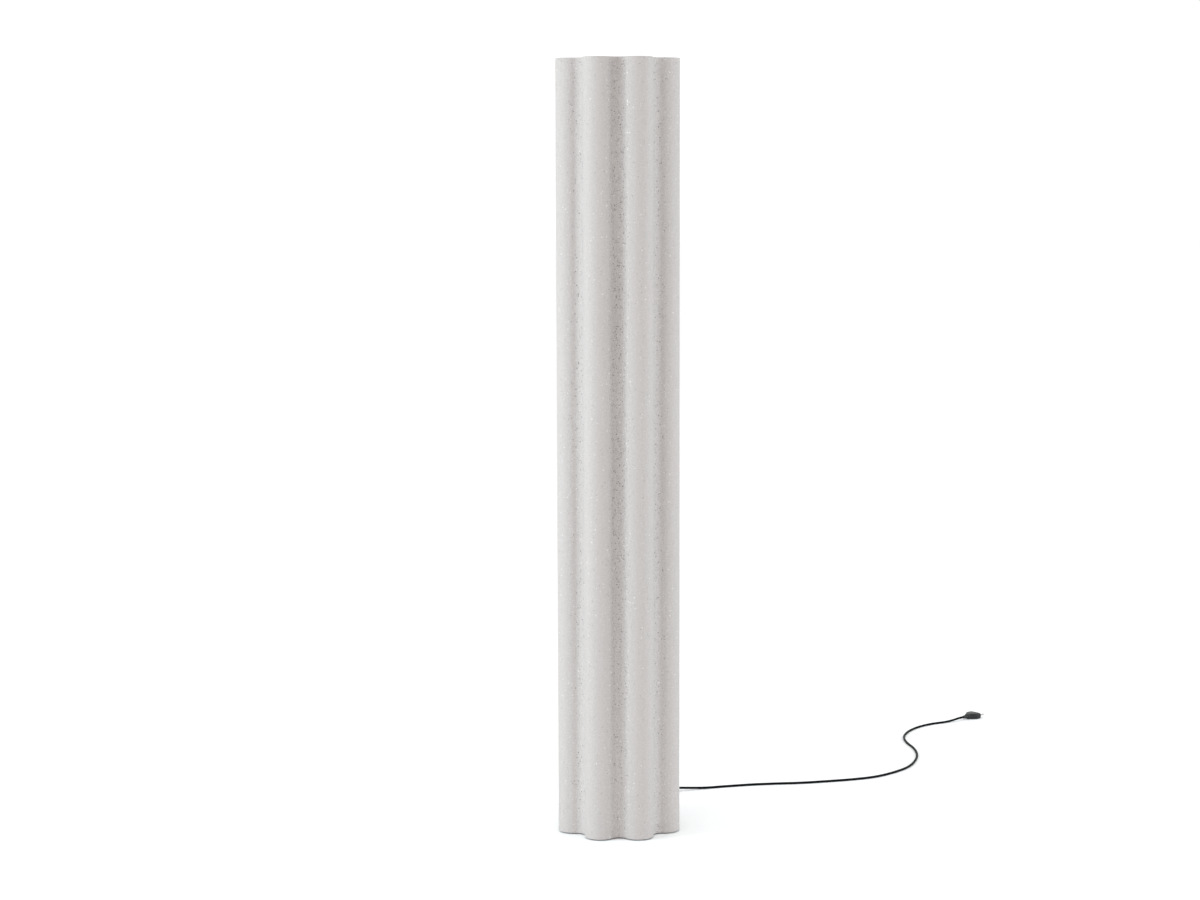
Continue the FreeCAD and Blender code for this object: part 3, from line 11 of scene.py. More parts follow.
import bmesh
import bpy
import numpy as np
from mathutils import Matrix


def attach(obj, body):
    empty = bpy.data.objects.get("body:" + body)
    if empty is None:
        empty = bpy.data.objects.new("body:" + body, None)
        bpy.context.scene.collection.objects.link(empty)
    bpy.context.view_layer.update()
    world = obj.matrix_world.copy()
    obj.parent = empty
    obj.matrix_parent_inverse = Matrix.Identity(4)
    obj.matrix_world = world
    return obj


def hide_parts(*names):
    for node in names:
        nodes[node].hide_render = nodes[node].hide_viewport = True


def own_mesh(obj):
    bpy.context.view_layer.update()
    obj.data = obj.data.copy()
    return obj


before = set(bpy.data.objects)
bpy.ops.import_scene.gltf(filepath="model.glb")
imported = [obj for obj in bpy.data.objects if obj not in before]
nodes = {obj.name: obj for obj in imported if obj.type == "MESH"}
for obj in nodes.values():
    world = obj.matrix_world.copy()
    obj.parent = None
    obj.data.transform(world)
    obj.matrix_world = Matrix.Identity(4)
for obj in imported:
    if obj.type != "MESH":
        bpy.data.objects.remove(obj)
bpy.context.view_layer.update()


MM = 0.001

# %% [markdown]
# ## The camera
#
# The photograph was taken from chest height with a long lens, tipped a little down and turned
# by a sixth of a degree. A camera could be matched by eye, but the tube's two edges and the
# lowest and highest points of its lobes fix it well, so these values were fitted to them once
# and are kept as plain numbers: metres for its place, degrees for its tip and turn.

# %% Place the camera
CAMERA_PLACE = (-0.0354, -4.7669, 1.2433)
CAMERA_TIP_DOWN = 5.941
CAMERA_TURN = -0.156
LENS_MM = 73.79
SENSOR_MM = 36
SIGHT_REACH = 100

camera = bpy.data.objects.new("camera", bpy.data.cameras.new("camera"))
bpy.context.collection.objects.link(camera)
camera.data.lens = LENS_MM
camera.data.sensor_width = SENSOR_MM
camera.data.clip_end = SIGHT_REACH
camera.location = CAMERA_PLACE
camera.rotation_mode = "ZXY"
camera.rotation_euler = (math.radians(90 - CAMERA_TIP_DOWN), 0, math.radians(CAMERA_TURN))
bpy.context.scene.camera = camera
print("camera:", CAMERA_PLACE, "lens", LENS_MM, "mm")

# %% [markdown]
# ## The cord
#
# The cord leaves the back of the plate, is wound into a small tied coil behind the lamp, goes
# through a foot switch and then lies in a loose S over the floor. A mesh tube would do, but a
# smooth spline with a round bevel is what a cord is: one line of a known length. Its control
# points are the route's points. Each is measured from the floor under the end of the strain
# relief: to the right, to the back and up.

# %% The routes, in millimetres
EXIT_BACK = 117.007
FROM_LAMP = [
    (0, 0, 11.5), (0, 13, 11.5), (-1.2, 29, 7.4), (-3, 43, 3.7), (-3, 56, 3.7),
]
TO_SWITCH = [
    (-5.8, 66, 9.3), (-5.8, 89, 9.3), (-1.5, 112, 7), (20.6, 131.5, 7.5),
    (48.45, 139.5, 7.5),
]
TO_PLUG = [
    (96.55, 153.3, 7.5), (124.9, 161.42, 7.5), (153.5, 170.2, 4.9), (184, 180, 2.5),
    (230, 194.6, 2.5), (282, 208.6, 2.5), (334, 216.6, 2.5), (387, 221.4, 2.5),
    (440, 234.6, 2.5), (498, 250.4, 2.5), (553, 274, 2.5), (594, 312, 2.5),
    (633, 361, 2.5), (656, 421, 2.5), (668.5, 481, 2.5), (669.5, 545, 2.5),
    (658, 605, 2.5), (658.5, 663, 2.5), (677, 721, 2.5), (706, 768, 2.5),
    (742, 802, 2.5), (778, 819.5, 2.5), (800, 832.6, 5), (812.2, 843.1, 6.85),
    (824, 853, 6.85),
]
print("route points:", len(FROM_LAMP), "+", len(TO_SWITCH), "and", len(TO_PLUG))

# %% [markdown]
# The coil's turns are more points of the same spline. They could be placed one by one, but a neat
# coil is a formula, so a loop works them out: half turns that wind in on the floor, climb to a
# second layer and wind out again.

# %% The coil's turns
COIL_MIDDLE = (-40, 61)
COIL_RADIUS = 37
COIL_PITCH = 5.6
COIL_LOW = 3.7
INWARD_HALF_TURNS = 6
OUTWARD_HALF_TURNS = 5
POINTS_PER_HALF_TURN = 8


def coil_points():
    """Control points of the coil, as many on each half turn.

    Half turn k is a half circle between two places on the line across the coil, so its middle
    lies half way between them. A quadratic spline touches the middles of its control polygon's
    sides, so each point stands out by one over the cosine of half a step. The half turn between
    the two layers climbs as half of one less the cosine of its angle.
    """
    inward = COIL_RADIUS - COIL_PITCH / 2 * np.arange(INWARD_HALF_TURNS + 2)
    outward = inward[-1] + COIL_PITCH + COIL_PITCH / 2 * np.arange(OUTWARD_HALF_TURNS)
    reach = np.concatenate([inward, outward])
    reach[1::2] *= -1
    step = math.pi / POINTS_PER_HALF_TURN
    angle = step * (np.arange(POINTS_PER_HALF_TURN) + 0.5)
    points = []
    for k, (here, after) in enumerate(zip(reach, reach[1:])):
        stand = (here - after) / 2 / math.cos(step / 2)
        side = COIL_MIDDLE[0] + (here + after) / 2 + stand * np.cos(angle)
        back = COIL_MIDDLE[1] + np.abs(stand) * np.sin(angle) * (1 if k % 2 == 0 else -1)
        if k == INWARD_HALF_TURNS:
            layer = (1 - np.cos(angle)) / 2
        else:
            layer = np.full(POINTS_PER_HALF_TURN, float(k > INWARD_HALF_TURNS))
        points += list(zip(side, back, COIL_LOW + COIL_PITCH * layer))
    return points


coil = coil_points()
print("coil:", len(coil), "points in", (INWARD_HALF_TURNS + OUTWARD_HALF_TURNS + 1) / 2, "turns")

# %% [markdown]
# One helper draws both cords. A spline of order three keeps every bend round, and a round bevel
# gives it its thickness. The bevel is one metre deep and each point's radius shrinks it to the
# cord's, because Blender grows a curve's box by the radii of its points.

# %% Draw the two cords
CORD_RADIUS = 2.5
CORD_BEVEL_STEPS = 5
STEPS_BETWEEN_POINTS = 10


def cord_spline(name, route):
    """A smooth round cord: a quadratic spline with the route's points as its control points."""
    data = bpy.data.curves.new(name, "CURVE")
    data.dimensions = "3D"
    data.bevel_depth = 1
    data.bevel_resolution = CORD_BEVEL_STEPS
    data.use_fill_caps = True
    line = data.splines.new("NURBS")
    line.points.add(len(route) - 1)
    for point, (right, back, up) in zip(line.points, route):
        point.co = (right * MM, (back + EXIT_BACK) * MM, up * MM, 1)
        point.radius = CORD_RADIUS * MM
    line.order_u = 3
    line.use_endpoint_u = True
    line.resolution_u = STEPS_BETWEEN_POINTS
    piece = bpy.data.objects.new(name, data)
    bpy.context.collection.objects.link(piece)
    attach(piece, "stand")
    print(name + ":", len(line.points), "control points")
    return piece


lamp_cord = cord_spline("lamp_cord", FROM_LAMP + coil + TO_SWITCH)
plug_cord = cord_spline("plug_cord", TO_PLUG)
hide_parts("cord_from_lamp", "cord_coil", "cord_to_switch")
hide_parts("cord_to_plug")

# %% [markdown]
# ## A way to draw surfaces
#
# Blender's own primitives would give plain cylinders and boxes. The pieces here are moulded, so
# each is worked out as a grid of points: rows along the piece, and columns round it. One helper
# turns any such grid, in millimetres, into a mesh in metres.


# %% From a grid of points to a piece
def skin(name, grid, body, closed_rows=False, caps=False, keep=None):
    """A smooth mesh over a grid of points, whose columns run round and meet again.

    Face (i, j) joins the points (i, j), (i, j + 1), (i + 1, j + 1) and (i + 1, j). The rows meet
    again too where closed_rows is set, caps closes the first and the last row with one face
    each, and keep says which faces of an open grid are made. A point without a face is left out.
    """
    rows, columns = grid.shape[:2]
    number = np.arange(rows * columns).reshape(rows, columns)
    low = number if closed_rows else number[:-1]
    high = np.roll(number, -1, axis=0) if closed_rows else number[1:]
    faces = np.stack([low, np.roll(low, -1, axis=1), np.roll(high, -1, axis=1), high], axis=-1)
    points = grid.reshape(-1, 3) * MM
    if keep is not None:
        used, faces = np.unique(faces[keep], return_inverse=True)
        points = points[used]
    lids = [number[0][::-1].tolist(), number[-1].tolist()] if caps else []
    mesh = bpy.data.meshes.new(name)
    mesh.from_pydata(points, [], faces.reshape(-1, 4).tolist() + lids)
    mesh.polygons.foreach_set("use_smooth", np.ones(len(mesh.polygons), bool))
    if closed_rows or caps:
        shape = bmesh.new()
        shape.from_mesh(mesh)
        bmesh.ops.recalc_face_normals(shape, faces=shape.faces)
        shape.to_mesh(mesh)
        shape.free()
    piece = bpy.data.objects.new(name, mesh)
    bpy.context.collection.objects.link(piece)
    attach(piece, body)
    print(name + ":", len(mesh.vertices), "points,", len(mesh.polygons), "faces")
    return piece


# %% [markdown]
# ## The fluted tube
#
# The real tube is one thin skin drawn round eight lobes. Its outline is round arcs that meet
# without a corner: a wide arc for each lobe, and a tighter one, bent the other way, for each
# valley. A cylinder pushed in and out by a wave would be quicker, but its lobes would be pointed
# where these are round. So the outline is worked out from the arcs and carried up the height,
# with a slow unevenness of a quarter of a millimetre, always inwards.

# %% The outline
LOBES = 8
LOBE_TIP = 126
LOBE_ROUND = 30
VALLEY_ROUND = 17
NOTCH_HALF_WIDTH = 5.1


def outline(lobe_steps=22, side_steps=4, notch_steps=4):
    """Points round the tube, and the way outwards at each, for one turn of eight lobes.

    A lobe is an arc about a middle that lies its own radius inside the tip. A valley is an arc
    about a middle outside the tube, as far from the lobes' middles as both radii together, so
    that the arcs touch. The valley's points are spaced so that two of them fall on the edges of
    the cord's notch.
    """
    half = math.pi / LOBES
    middle = LOBE_TIP - LOBE_ROUND
    outside = middle * math.cos(half) + math.sqrt(
        (LOBE_ROUND + VALLEY_ROUND) ** 2 - (middle * math.sin(half)) ** 2)
    touch = math.atan2(outside * math.sin(half), outside * math.cos(half) - middle)
    lobe_turn = np.linspace(-touch, touch, lobe_steps, endpoint=False)
    lobe_way = np.stack([np.cos(lobe_turn), np.sin(lobe_turn)], axis=-1)
    lobe = np.array([middle, 0]) + LOBE_ROUND * lobe_way
    edge = math.asin(NOTCH_HALF_WIDTH / VALLEY_ROUND)
    valley_turn = math.pi + half + np.concatenate([
        np.linspace(touch - half, edge, side_steps, endpoint=False),
        np.linspace(edge, -edge, notch_steps, endpoint=False),
        np.linspace(-edge, half - touch, side_steps, endpoint=False),
    ])
    valley_way = np.stack([np.cos(valley_turn), np.sin(valley_turn)], axis=-1)
    valley = outside * np.array([math.cos(half), math.sin(half)]) + VALLEY_ROUND * valley_way
    points, ways = np.concatenate([lobe, valley]), np.concatenate([lobe_way, -valley_way])
    turns = (2 * np.arange(LOBES) + 1) * half
    spin = np.stack([np.stack([np.cos(turns), np.sin(turns)], axis=-1),
                     np.stack([-np.sin(turns), np.cos(turns)], axis=-1)], axis=1)
    return (points @ spin).reshape(-1, 2), (ways @ spin).reshape(-1, 2)


ring, ring_ways = outline()
print("outline:", len(ring), "points, widest", np.abs(ring).max(axis=0).round(2),
      "deepest", np.hypot(*ring.T).min().round(2))

# %% The tube's skin
SHADE_FOOT = 2
SHADE_TOP = 1500
NOTCH_MIDDLE = 9
NOTCH_TOP = 16.6
ROWS_ABOVE_NOTCH = 84
UNEVENNESS = 0.25
LONG_SWELL, SHORT_SWELL = 97, 61
EVEN_ENDS = 60

levels = np.concatenate([[SHADE_FOOT, NOTCH_MIDDLE],
                         np.linspace(NOTCH_TOP, SHADE_TOP, ROWS_ABOVE_NOTCH)])


def tube_grid():
    """The outline carried up the height and drawn in a little, never out.

    Point (i, j) is outline point j at level_i, moved inwards by the unevenness times half of one
    plus the swell. The swell is the product of two sines: of the level over a long length plus
    twice the turn, and of the level over a short one less three times the turn. It fades out at
    the notch and at the top, so that both stay true.
    """
    turn = np.arctan2(ring[:, 1], ring[:, 0])
    up = levels[:, None]
    swell = np.sin(up / LONG_SWELL + 2 * turn) * np.sin(up / SHORT_SWELL - 3 * turn)
    fade = (np.clip((up - NOTCH_TOP) / EVEN_ENDS, 0, 1)
            * np.clip((SHADE_TOP - up) / EVEN_ENDS, 0, 1))
    drawn_in = UNEVENNESS * fade * (1 + swell) / 2
    across = ring - drawn_in[..., None] * ring_ways
    height = np.broadcast_to(up[..., None], across.shape[:2] + (1,))
    return np.concatenate([across, height], axis=-1)


middle_of_face = (ring + np.roll(ring, -1, axis=0)) / 2
in_notch = (np.abs(middle_of_face[:, 0]) < NOTCH_HALF_WIDTH) & (middle_of_face[:, 1] > 0)
keep = ~(in_notch & (levels[:-1, None] < NOTCH_TOP))
tube = skin("fluted_tube", tube_grid(), "shade", keep=keep)
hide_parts("shade")

# %% [markdown]
# A Solidify modifier gives the skin its wall, drawn inwards so that the outside stays where the
# arcs put it. The rims of the real tube are eased by hand, so a small bevel rounds every sharp
# edge and leaves the flutes alone.

# %% The tube's wall and rims
SHADE_WALL = 2
RIM_EASE = 0.8
SHARP_ANGLE = 50

wall = tube.modifiers.new("wall", "SOLIDIFY")
wall.thickness = SHADE_WALL * MM
wall.offset = -1
ease = tube.modifiers.new("ease", "BEVEL")
ease.width = RIM_EASE * MM
ease.segments = 3
ease.limit_method = "ANGLE"
ease.angle_limit = math.radians(SHARP_ANGLE)
ease.harden_normals = True
print("tube:", SHADE_TOP - SHADE_FOOT, "mm tall with a wall of", SHADE_WALL, "mm")

# %% [markdown]
# ## The moulded sleeves
#
# Where the cord leaves the plate, the switch and the plug, a soft rubber sleeve keeps it from
# kinking. On the real thing it is a taper cut by ring grooves, so that it bends evenly. It could
# be a cone with rings cut out of it, but it is a turned shape, so a profile of distances and
# radii is swept round the cord's line.

# %% The taper's profile
SLEEVE_BORE = 2.6
GROOVE_DEPTH = 0.55
PLAIN_END = 1
ROOT_FADE, TIP_FADE = 2, 1.5
TIP_LENGTH, TIP_DROP = 0.6, 0.4
PROFILE_STEPS_PER_MM = 5


def sleeve_profile(length, root, tip, pitch, start=0):
    """Distances and radii of a taper with ring grooves, and of the bore back through it.

    The radius runs straight from root to tip, less a groove that is a cosine wave to the fourth
    power and fades out at both ends. At the tip it drops by the square of the way along a short
    length, which rounds it off.
    """
    along = np.linspace(0, length, int(length * PROFILE_STEPS_PER_MM) + 1)
    groove = np.cos(math.pi * (along / pitch + 0.5)) ** 4 * GROOVE_DEPTH
    fade = (np.clip((along - PLAIN_END) / ROOT_FADE, 0, 1)
            * np.clip((length - along - PLAIN_END) / TIP_FADE, 0, 1))
    drop = TIP_DROP * np.clip((along - length + TIP_LENGTH) / TIP_LENGTH, 0, 1) ** 2
    radius = root + (tip - root) * along / length - groove * fade - drop
    outer = np.stack([start + along, radius], axis=-1)
    inner = [[start + length * share, SLEEVE_BORE] for share in (1, 0.5, 0)]
    return np.concatenate([outer, inner])


short_profile = sleeve_profile(12, 4.8, 3.2, pitch=2.6)
print("short sleeve:", len(short_profile), "points in its profile")


# %% Sweep a profile round the cord's line
def carried(points, place, heading):
    """Points turned about the vertical by a heading in degrees, then moved to their place."""
    turn = math.radians(heading)
    matrix = np.array([[math.cos(turn), math.sin(turn), 0],
                       [-math.sin(turn), math.cos(turn), 0], [0, 0, 1]])
    return points @ matrix + np.array(place)


def turned_sleeve(name, profile, foot, heading, steps=40):
    """A rubber sleeve, turned about a level line that leaves its foot with a heading in degrees.

    Point (i, j) lies distance_i along the line and radius_i from it, at angle_j round it.
    """
    angle = np.linspace(0, 2 * math.pi, steps, endpoint=False)
    distance, radius = profile[:, 0, None] + 0 * angle, profile[:, 1, None]
    grid = np.stack([distance, radius * np.cos(angle), radius * np.sin(angle)], axis=-1)
    return skin(name, carried(grid, foot, heading), "stand", closed_rows=True)


# %% The strain relief at the plate
RELIEF_HEIGHT = 11.5
RELIEF_COLLAR = 12
RELIEF_TAPER = 25
COLLAR_RADIUS = 4.5
COLLAR_EASE = 0.3

collar = np.array([
    [0, SLEEVE_BORE], [0, COLLAR_RADIUS - COLLAR_EASE], [COLLAR_EASE, COLLAR_RADIUS],
    [RELIEF_COLLAR - COLLAR_EASE, COLLAR_RADIUS], [RELIEF_COLLAR, COLLAR_RADIUS - COLLAR_EASE],
])
taper = sleeve_profile(RELIEF_TAPER, 4.1, 3.3, pitch=3.2, start=RELIEF_COLLAR)
relief = turned_sleeve("relief_sleeve", np.concatenate([collar, taper[:-1]]),
                       (0, EXIT_BACK - RELIEF_COLLAR - RELIEF_TAPER, RELIEF_HEIGHT), 90)
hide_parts("strain_relief")

# %% [markdown]
# ## The foot switch
#
# The foot switch is a flat two-part shell with a round button. Its shell could be drawn again,
# but its engineering solids already have the right shape, so only the sleeves where the cord
# goes in and out, and the spring under the button, are drawn here.

# %% The switch's sleeves
SWITCH_MIDDLE = (72.5, EXIT_BACK + 146.4)
SWITCH_HEADING = 16
SWITCH_HALF_LENGTH = 29
SWITCH_CORD_HEIGHT = 7.5


def further(place, heading, distance):
    """The place, moved on by a distance along a heading in degrees."""
    right, back, up = place
    turn = math.radians(heading)
    return right + distance * math.cos(turn), back + distance * math.sin(turn), up


switch_sleeves = []
for side, heading in (("near", SWITCH_HEADING + 180), ("far", SWITCH_HEADING)):
    foot = further((*SWITCH_MIDDLE, SWITCH_CORD_HEIGHT), heading, SWITCH_HALF_LENGTH)
    made = turned_sleeve("switch_sleeve_" + side, short_profile, foot, heading)
    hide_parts("switch_sleeves")
    switch_sleeves.append(made)

# %% [markdown]
# Under the button stands a steel spring, and the button presses it down by its travel. The
# engineering solid is rigid and would come through the button, so the spring is drawn again as a
# wire swept along a helix.

# %% The button's spring
SPRING_SEAT = 11
SPRING_HEIGHT = 11
SPRING_RADIUS = 3.8
SPRING_WIRE = 0.4
SPRING_TURNS = 5


def spring_wire(rings_per_turn=32, steps=10):
    """A round wire along a helix whose ends touch the seat and the button's roof.

    Ring i has its middle on the helix, at turn_i round and level_i up. Its points lie a wire's
    radius away, outwards from the helix's axis and upwards: the slope is too slight to matter.
    """
    count = SPRING_TURNS * rings_per_turn + 1
    turn = np.linspace(0, 2 * math.pi * SPRING_TURNS, count)[:, None]
    level = np.linspace(SPRING_WIRE, SPRING_HEIGHT - SPRING_WIRE, count)[:, None]
    angle = np.linspace(0, 2 * math.pi, steps, endpoint=False)
    reach = SPRING_RADIUS + SPRING_WIRE * np.cos(angle)
    return np.stack([reach * np.cos(turn), reach * np.sin(turn),
                     level + SPRING_WIRE * np.sin(angle)], axis=-1)


spring = skin("button_spring",
              carried(spring_wire(), (*SWITCH_MIDDLE, SPRING_SEAT), SWITCH_HEADING),
              "stand", caps=True)
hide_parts("switch_spring")
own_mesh(spring)

# %% [markdown]
# ## The plug
#
# The plug is a moulding that narrows to a grip. A box with bevelled edges would have flat sides
# all along, so sections across it are worked out instead: rounded rectangles that grow from the
# cord to the shoulder, with shallow ribs where fingers hold it.

# %% The plug's body
PLUG_FOOT = (824, EXIT_BACK + 853)
PLUG_HEADING = 40
PLUG_MIDDLE_HEIGHT = 6.85
PLUG_NECK, PLUG_SHOULDER, PLUG_FRONT = 12, 34, 44
NECK_HALF_WIDTH, SHOULDER_HALF_WIDTH = 5.9, 17.65
NECK_HALF_HEIGHT = 5.4
HEIGHT_LEAD = 1.6
GRIP_PITCH, GRIP_DEPTH = 3, 0.5
FIRST_GROOVE, GRIP_FROM, GRIP_TO, GRIP_FADE = 17, 16, 28.5, 2
EVEN_SECTIONS, EVEN_FROM, EVEN_TO = 51, 12.9, 42.9
NECK_EASE = np.array([[0, 0.8], [0.3, 0.25]])
FRONT_EASE = np.array([[-0.5, 0.25], [-0.15, 0.7], [0, 1.3]])
CORNER_POWER = 0.42


def squared_circle(angle):
    """Cosine and sine of the angle, each to a power below one and with its sign kept.

    That is a superellipse: a square of half width one, whose corners are round.
    """
    ways = np.cos(angle), np.sin(angle)
    return [np.sign(way) * np.abs(way) ** CORNER_POWER for way in ways]


def plug_sections(steps=56):
    """Squared circles across the plug, from its neck to its face.

    The half width and half height follow a smooth step of the way along: three times its square
    less twice its cube. The grooves between the ribs are a cosine wave to the fourth power, taken
    off the half width. The ease at each end gives distances from that end, and how far the
    section is tucked in there.
    """
    along = np.concatenate([PLUG_NECK + NECK_EASE[:, 0],
                            np.linspace(EVEN_FROM, EVEN_TO, EVEN_SECTIONS),
                            PLUG_FRONT + FRONT_EASE[:, 0]])
    tuck = np.concatenate([NECK_EASE[:, 1], np.zeros(EVEN_SECTIONS), FRONT_EASE[:, 1]])
    way = np.clip((along - PLUG_NECK) / (PLUG_SHOULDER - PLUG_NECK), 0, 1)
    step = way * way * (3 - 2 * way)
    groove = (np.cos(math.pi * (along - FIRST_GROOVE) / GRIP_PITCH) ** 4
              * np.clip((along - GRIP_FROM) / GRIP_FADE, 0, 1)
              * np.clip((GRIP_TO - along) / GRIP_FADE, 0, 1))
    half_width = (NECK_HALF_WIDTH + (SHOULDER_HALF_WIDTH - NECK_HALF_WIDTH) * step
                  - GRIP_DEPTH * groove - tuck)
    half_height = (NECK_HALF_HEIGHT - tuck
                   + (PLUG_MIDDLE_HEIGHT - NECK_HALF_HEIGHT) * np.clip(step * HEIGHT_LEAD, 0, 1))
    angle = np.linspace(0, 2 * math.pi, steps, endpoint=False)
    wide, tall = squared_circle(angle)
    return np.stack([along[:, None] + 0 * angle, half_width[:, None] * wide,
                     half_height[:, None] * tall], axis=-1)


plug_place = (*PLUG_FOOT, PLUG_MIDDLE_HEIGHT)
plug = skin("moulded_plug", carried(plug_sections(), plug_place, PLUG_HEADING),
            "stand", caps=True)
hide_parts("plug_body")

# %% The plug's sleeve
plug_sleeve = turned_sleeve("plug_grip_sleeve", short_profile,
                            further(plug_place, PLUG_HEADING, PLUG_NECK), PLUG_HEADING + 180)
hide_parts("plug_sleeve")

# %% [markdown]
# ## The coil's tie
#
# A strip of hook-and-loop tape holds the put-away turns together. It could be cut from a bent
# plane, but it is a woven band without sharp edges, so a slim section is carried round the
# turns: a squared circle on edge, a little slack in two places.

# %% The tie
TIE_MIDDLE = (-65.75, EXIT_BACK + 61, 6.5)
TIE_HALF = (12.25, 6.5)
TIE_WIDTH = 8
TIE_THICKNESS = 0.8
TIE_SLACK, SLACK_TURN = 0.25, 0.6
TIE_SQUEEZE = 0.5
TIE_SECTION = np.array([[0, -0.46], [0, 0.46], [0.25, 0.5], [0.75, 0.5],
                        [1, 0.46], [1, -0.46], [0.75, -0.5], [0.25, -0.5]])


def tie_band(steps=96):
    """A flat band round a squared circle on edge.

    Around the loop runs the circle's angle. Across the band run the eight points of its section:
    the inset from the loop, and the place along the band's width. The slack, a slow sine of the
    angle, adds to the inset, and above and below the turns only half of both counts.
    """
    angle = np.linspace(0, 2 * math.pi, steps, endpoint=False)
    wide, tall = (way[:, None] for way in squared_circle(angle))
    deep, along = (TIE_SECTION * (TIE_THICKNESS, TIE_WIDTH)).T
    inset = deep + TIE_SLACK * (1 + np.sin(2 * angle + SLACK_TURN))[:, None]
    side = TIE_MIDDLE[0] + wide * (TIE_HALF[0] - inset)
    level = TIE_MIDDLE[2] + tall * (TIE_HALF[1] - inset * TIE_SQUEEZE)
    return np.stack([side, TIE_MIDDLE[1] + along + 0 * side, level], axis=-1)


tie = skin("coil_tie", tie_band(), "stand", closed_rows=True)
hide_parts("cord_tie")

# %% [markdown]

# %% [markdown]
# ## Finishes as formulas
#
# Blender's materials are wired from nodes. Wiring them by hand takes four lines for one sum, so a
# small class wraps a node's output: adding, subtracting or multiplying adds the Math node. A
# second class holds one material and has the single method that adds any other node. Lengths in
# a material are in metres, and a noise or cell pattern's scale counts its grains in one metre.


# %% Sums of wires
class Wire:
    """One output of a material's node, used in sums like a number."""

    def __init__(self, finish, socket):
        self.finish, self.socket = finish, socket

    def maths(self, operation, *values):
        return self.finish.node("ShaderNodeMath", {"operation": operation}, *values)

    def output(self, name):
        """Another output of the same node."""
        return Wire(self.finish, self.socket.node.outputs[name])

    def __add__(self, other):
        return self.maths("ADD", self, other)

    def __sub__(self, other):
        return self.maths("SUBTRACT", self, other)

    def __rsub__(self, other):
        return self.maths("SUBTRACT", other, self)

    def __mul__(self, other):
        return self.maths("MULTIPLY", self, other)

    __radd__ = __add__
    __rmul__ = __mul__


def wave(along, pitch):
    """The sine of a place in metres, which comes round once every pitch."""
    turn = along * (2 * math.pi / pitch)
    return turn.maths("SINE", turn)


# %% A finish and its nodes
class Finish:
    """One material: its Principled shader, and a method that adds a node of any type."""

    def __init__(self, name, **constants):
        self.material = bpy.data.materials.new(name)
        self.material.use_nodes = True
        self.tree = self.material.node_tree
        self.shader = self.tree.nodes["Principled BSDF"]
        self.place = self.node("ShaderNodeTexCoord", {}).output("Object")
        for socket, value in constants.items():
            self.shader.inputs[socket.replace("_", " ")].default_value = value

    def node(self, kind, settings, *values, **named):
        """A node with its settings, then the values or wires of its sockets in use."""
        made = self.tree.nodes.new(kind)
        for key, value in settings.items():
            setattr(made, key, value)
        used = [socket for socket in made.inputs if socket.enabled]
        by_name = {socket.name.replace(" ", "_"): socket for socket in reversed(used)}
        for socket, value in list(zip(used, values)) + [(by_name[k], v) for k, v in named.items()]:
            if isinstance(value, Wire):
                self.tree.links.new(value.socket, socket)
            else:
                socket.default_value = value
        return Wire(self, next(socket for socket in made.outputs if socket.enabled))

    def noise(self, scale, detail=2.0, roughness=0.5, place=None):
        return self.node("ShaderNodeTexNoise", {}, place or self.place, Scale=scale, Detail=detail,
                         Roughness=roughness)

    def cells(self, scale, place):
        return self.node("ShaderNodeTexVoronoi", {}, place, Scale=scale)

    def stretched(self, *scale):
        return self.node("ShaderNodeMapping", {}, self.place, Scale=scale)

    def axes(self):
        """The place's three numbers: X is the wire itself, Y and Z are its other outputs."""
        return self.node("ShaderNodeSeparateXYZ", {}, self.place)

    def spread(self, value, low, high, start=0.0, end=1.0):
        """The value carried from low..high to start..end, and held there outside."""
        return self.node("ShaderNodeMapRange", {}, value, low, high, start, end)

    def mix(self, share, colour, other):
        """The colour, with a share of the other in it."""
        colours = [c if isinstance(c, Wire) else (*c, 1.0) for c in (colour, other)]
        return self.node("ShaderNodeMix", {"data_type": "RGBA"}, share, *colours)

    def feed(self, **inputs):
        """Wires into the shader's own sockets."""
        for name, wire in inputs.items():
            self.tree.links.new(wire.socket, self.shader.inputs[name.replace("_", " ")])
        return self

    def bumped(self, height, depth, strength):
        """A bump whose full height is the depth in metres."""
        bump = self.node("ShaderNodeBump", {}, Strength=strength, Distance=depth, Height=height)
        return self.feed(Normal=bump)

    def on(self, *pieces):
        """Puts this finish on every slot of the pieces."""
        for piece in pieces:
            piece = nodes[piece] if isinstance(piece, str) else piece
            if not piece.material_slots:
                piece.data.materials.append(self.material)
            for slot in piece.material_slots:
                slot.material = self.material
        print(self.material.name + ":", len(self.tree.nodes), "nodes, pieces:", len(pieces))


# %% [markdown]
# ## The tube's finish
#
# The tube is cast resin filled with ground stone. From far away it is a matt warm grey, and near
# to it is sandy: grains one to three millimetres across, each tilted a little its own way, so
# that some glint and some look like pits. A picture of stone would repeat and blur. Cells of a
# Voronoi pattern are grains by nature: their random colour darkens or polishes each by itself.
#
# The pits follow the valleys and crowd the front and back ones: they are the stone's grain, and
# painted shade where the flutes fall dark. The bright grains on the flanks, more on the sides, are
# painted highlights. Both follow the distance from the tube's axis. Towards the floor the pits
# thin
# out and the valleys grow paler: painted light standing in for the floor's bounce.

# %% Where the valleys, flanks, sides and foot are
VALLEY_EDGE, VALLEY_FLOOR = 0.1180, 0.1040
FLANK_LOW, FLANK_HIGH = (0.1035, 0.1085), (0.1175, 0.1125)
BOUNCE_STARTS, BOUNCE_FULL = 0.5, 0.05
SIDE_STARTS, SIDE_FULL = 0.03, 0.07

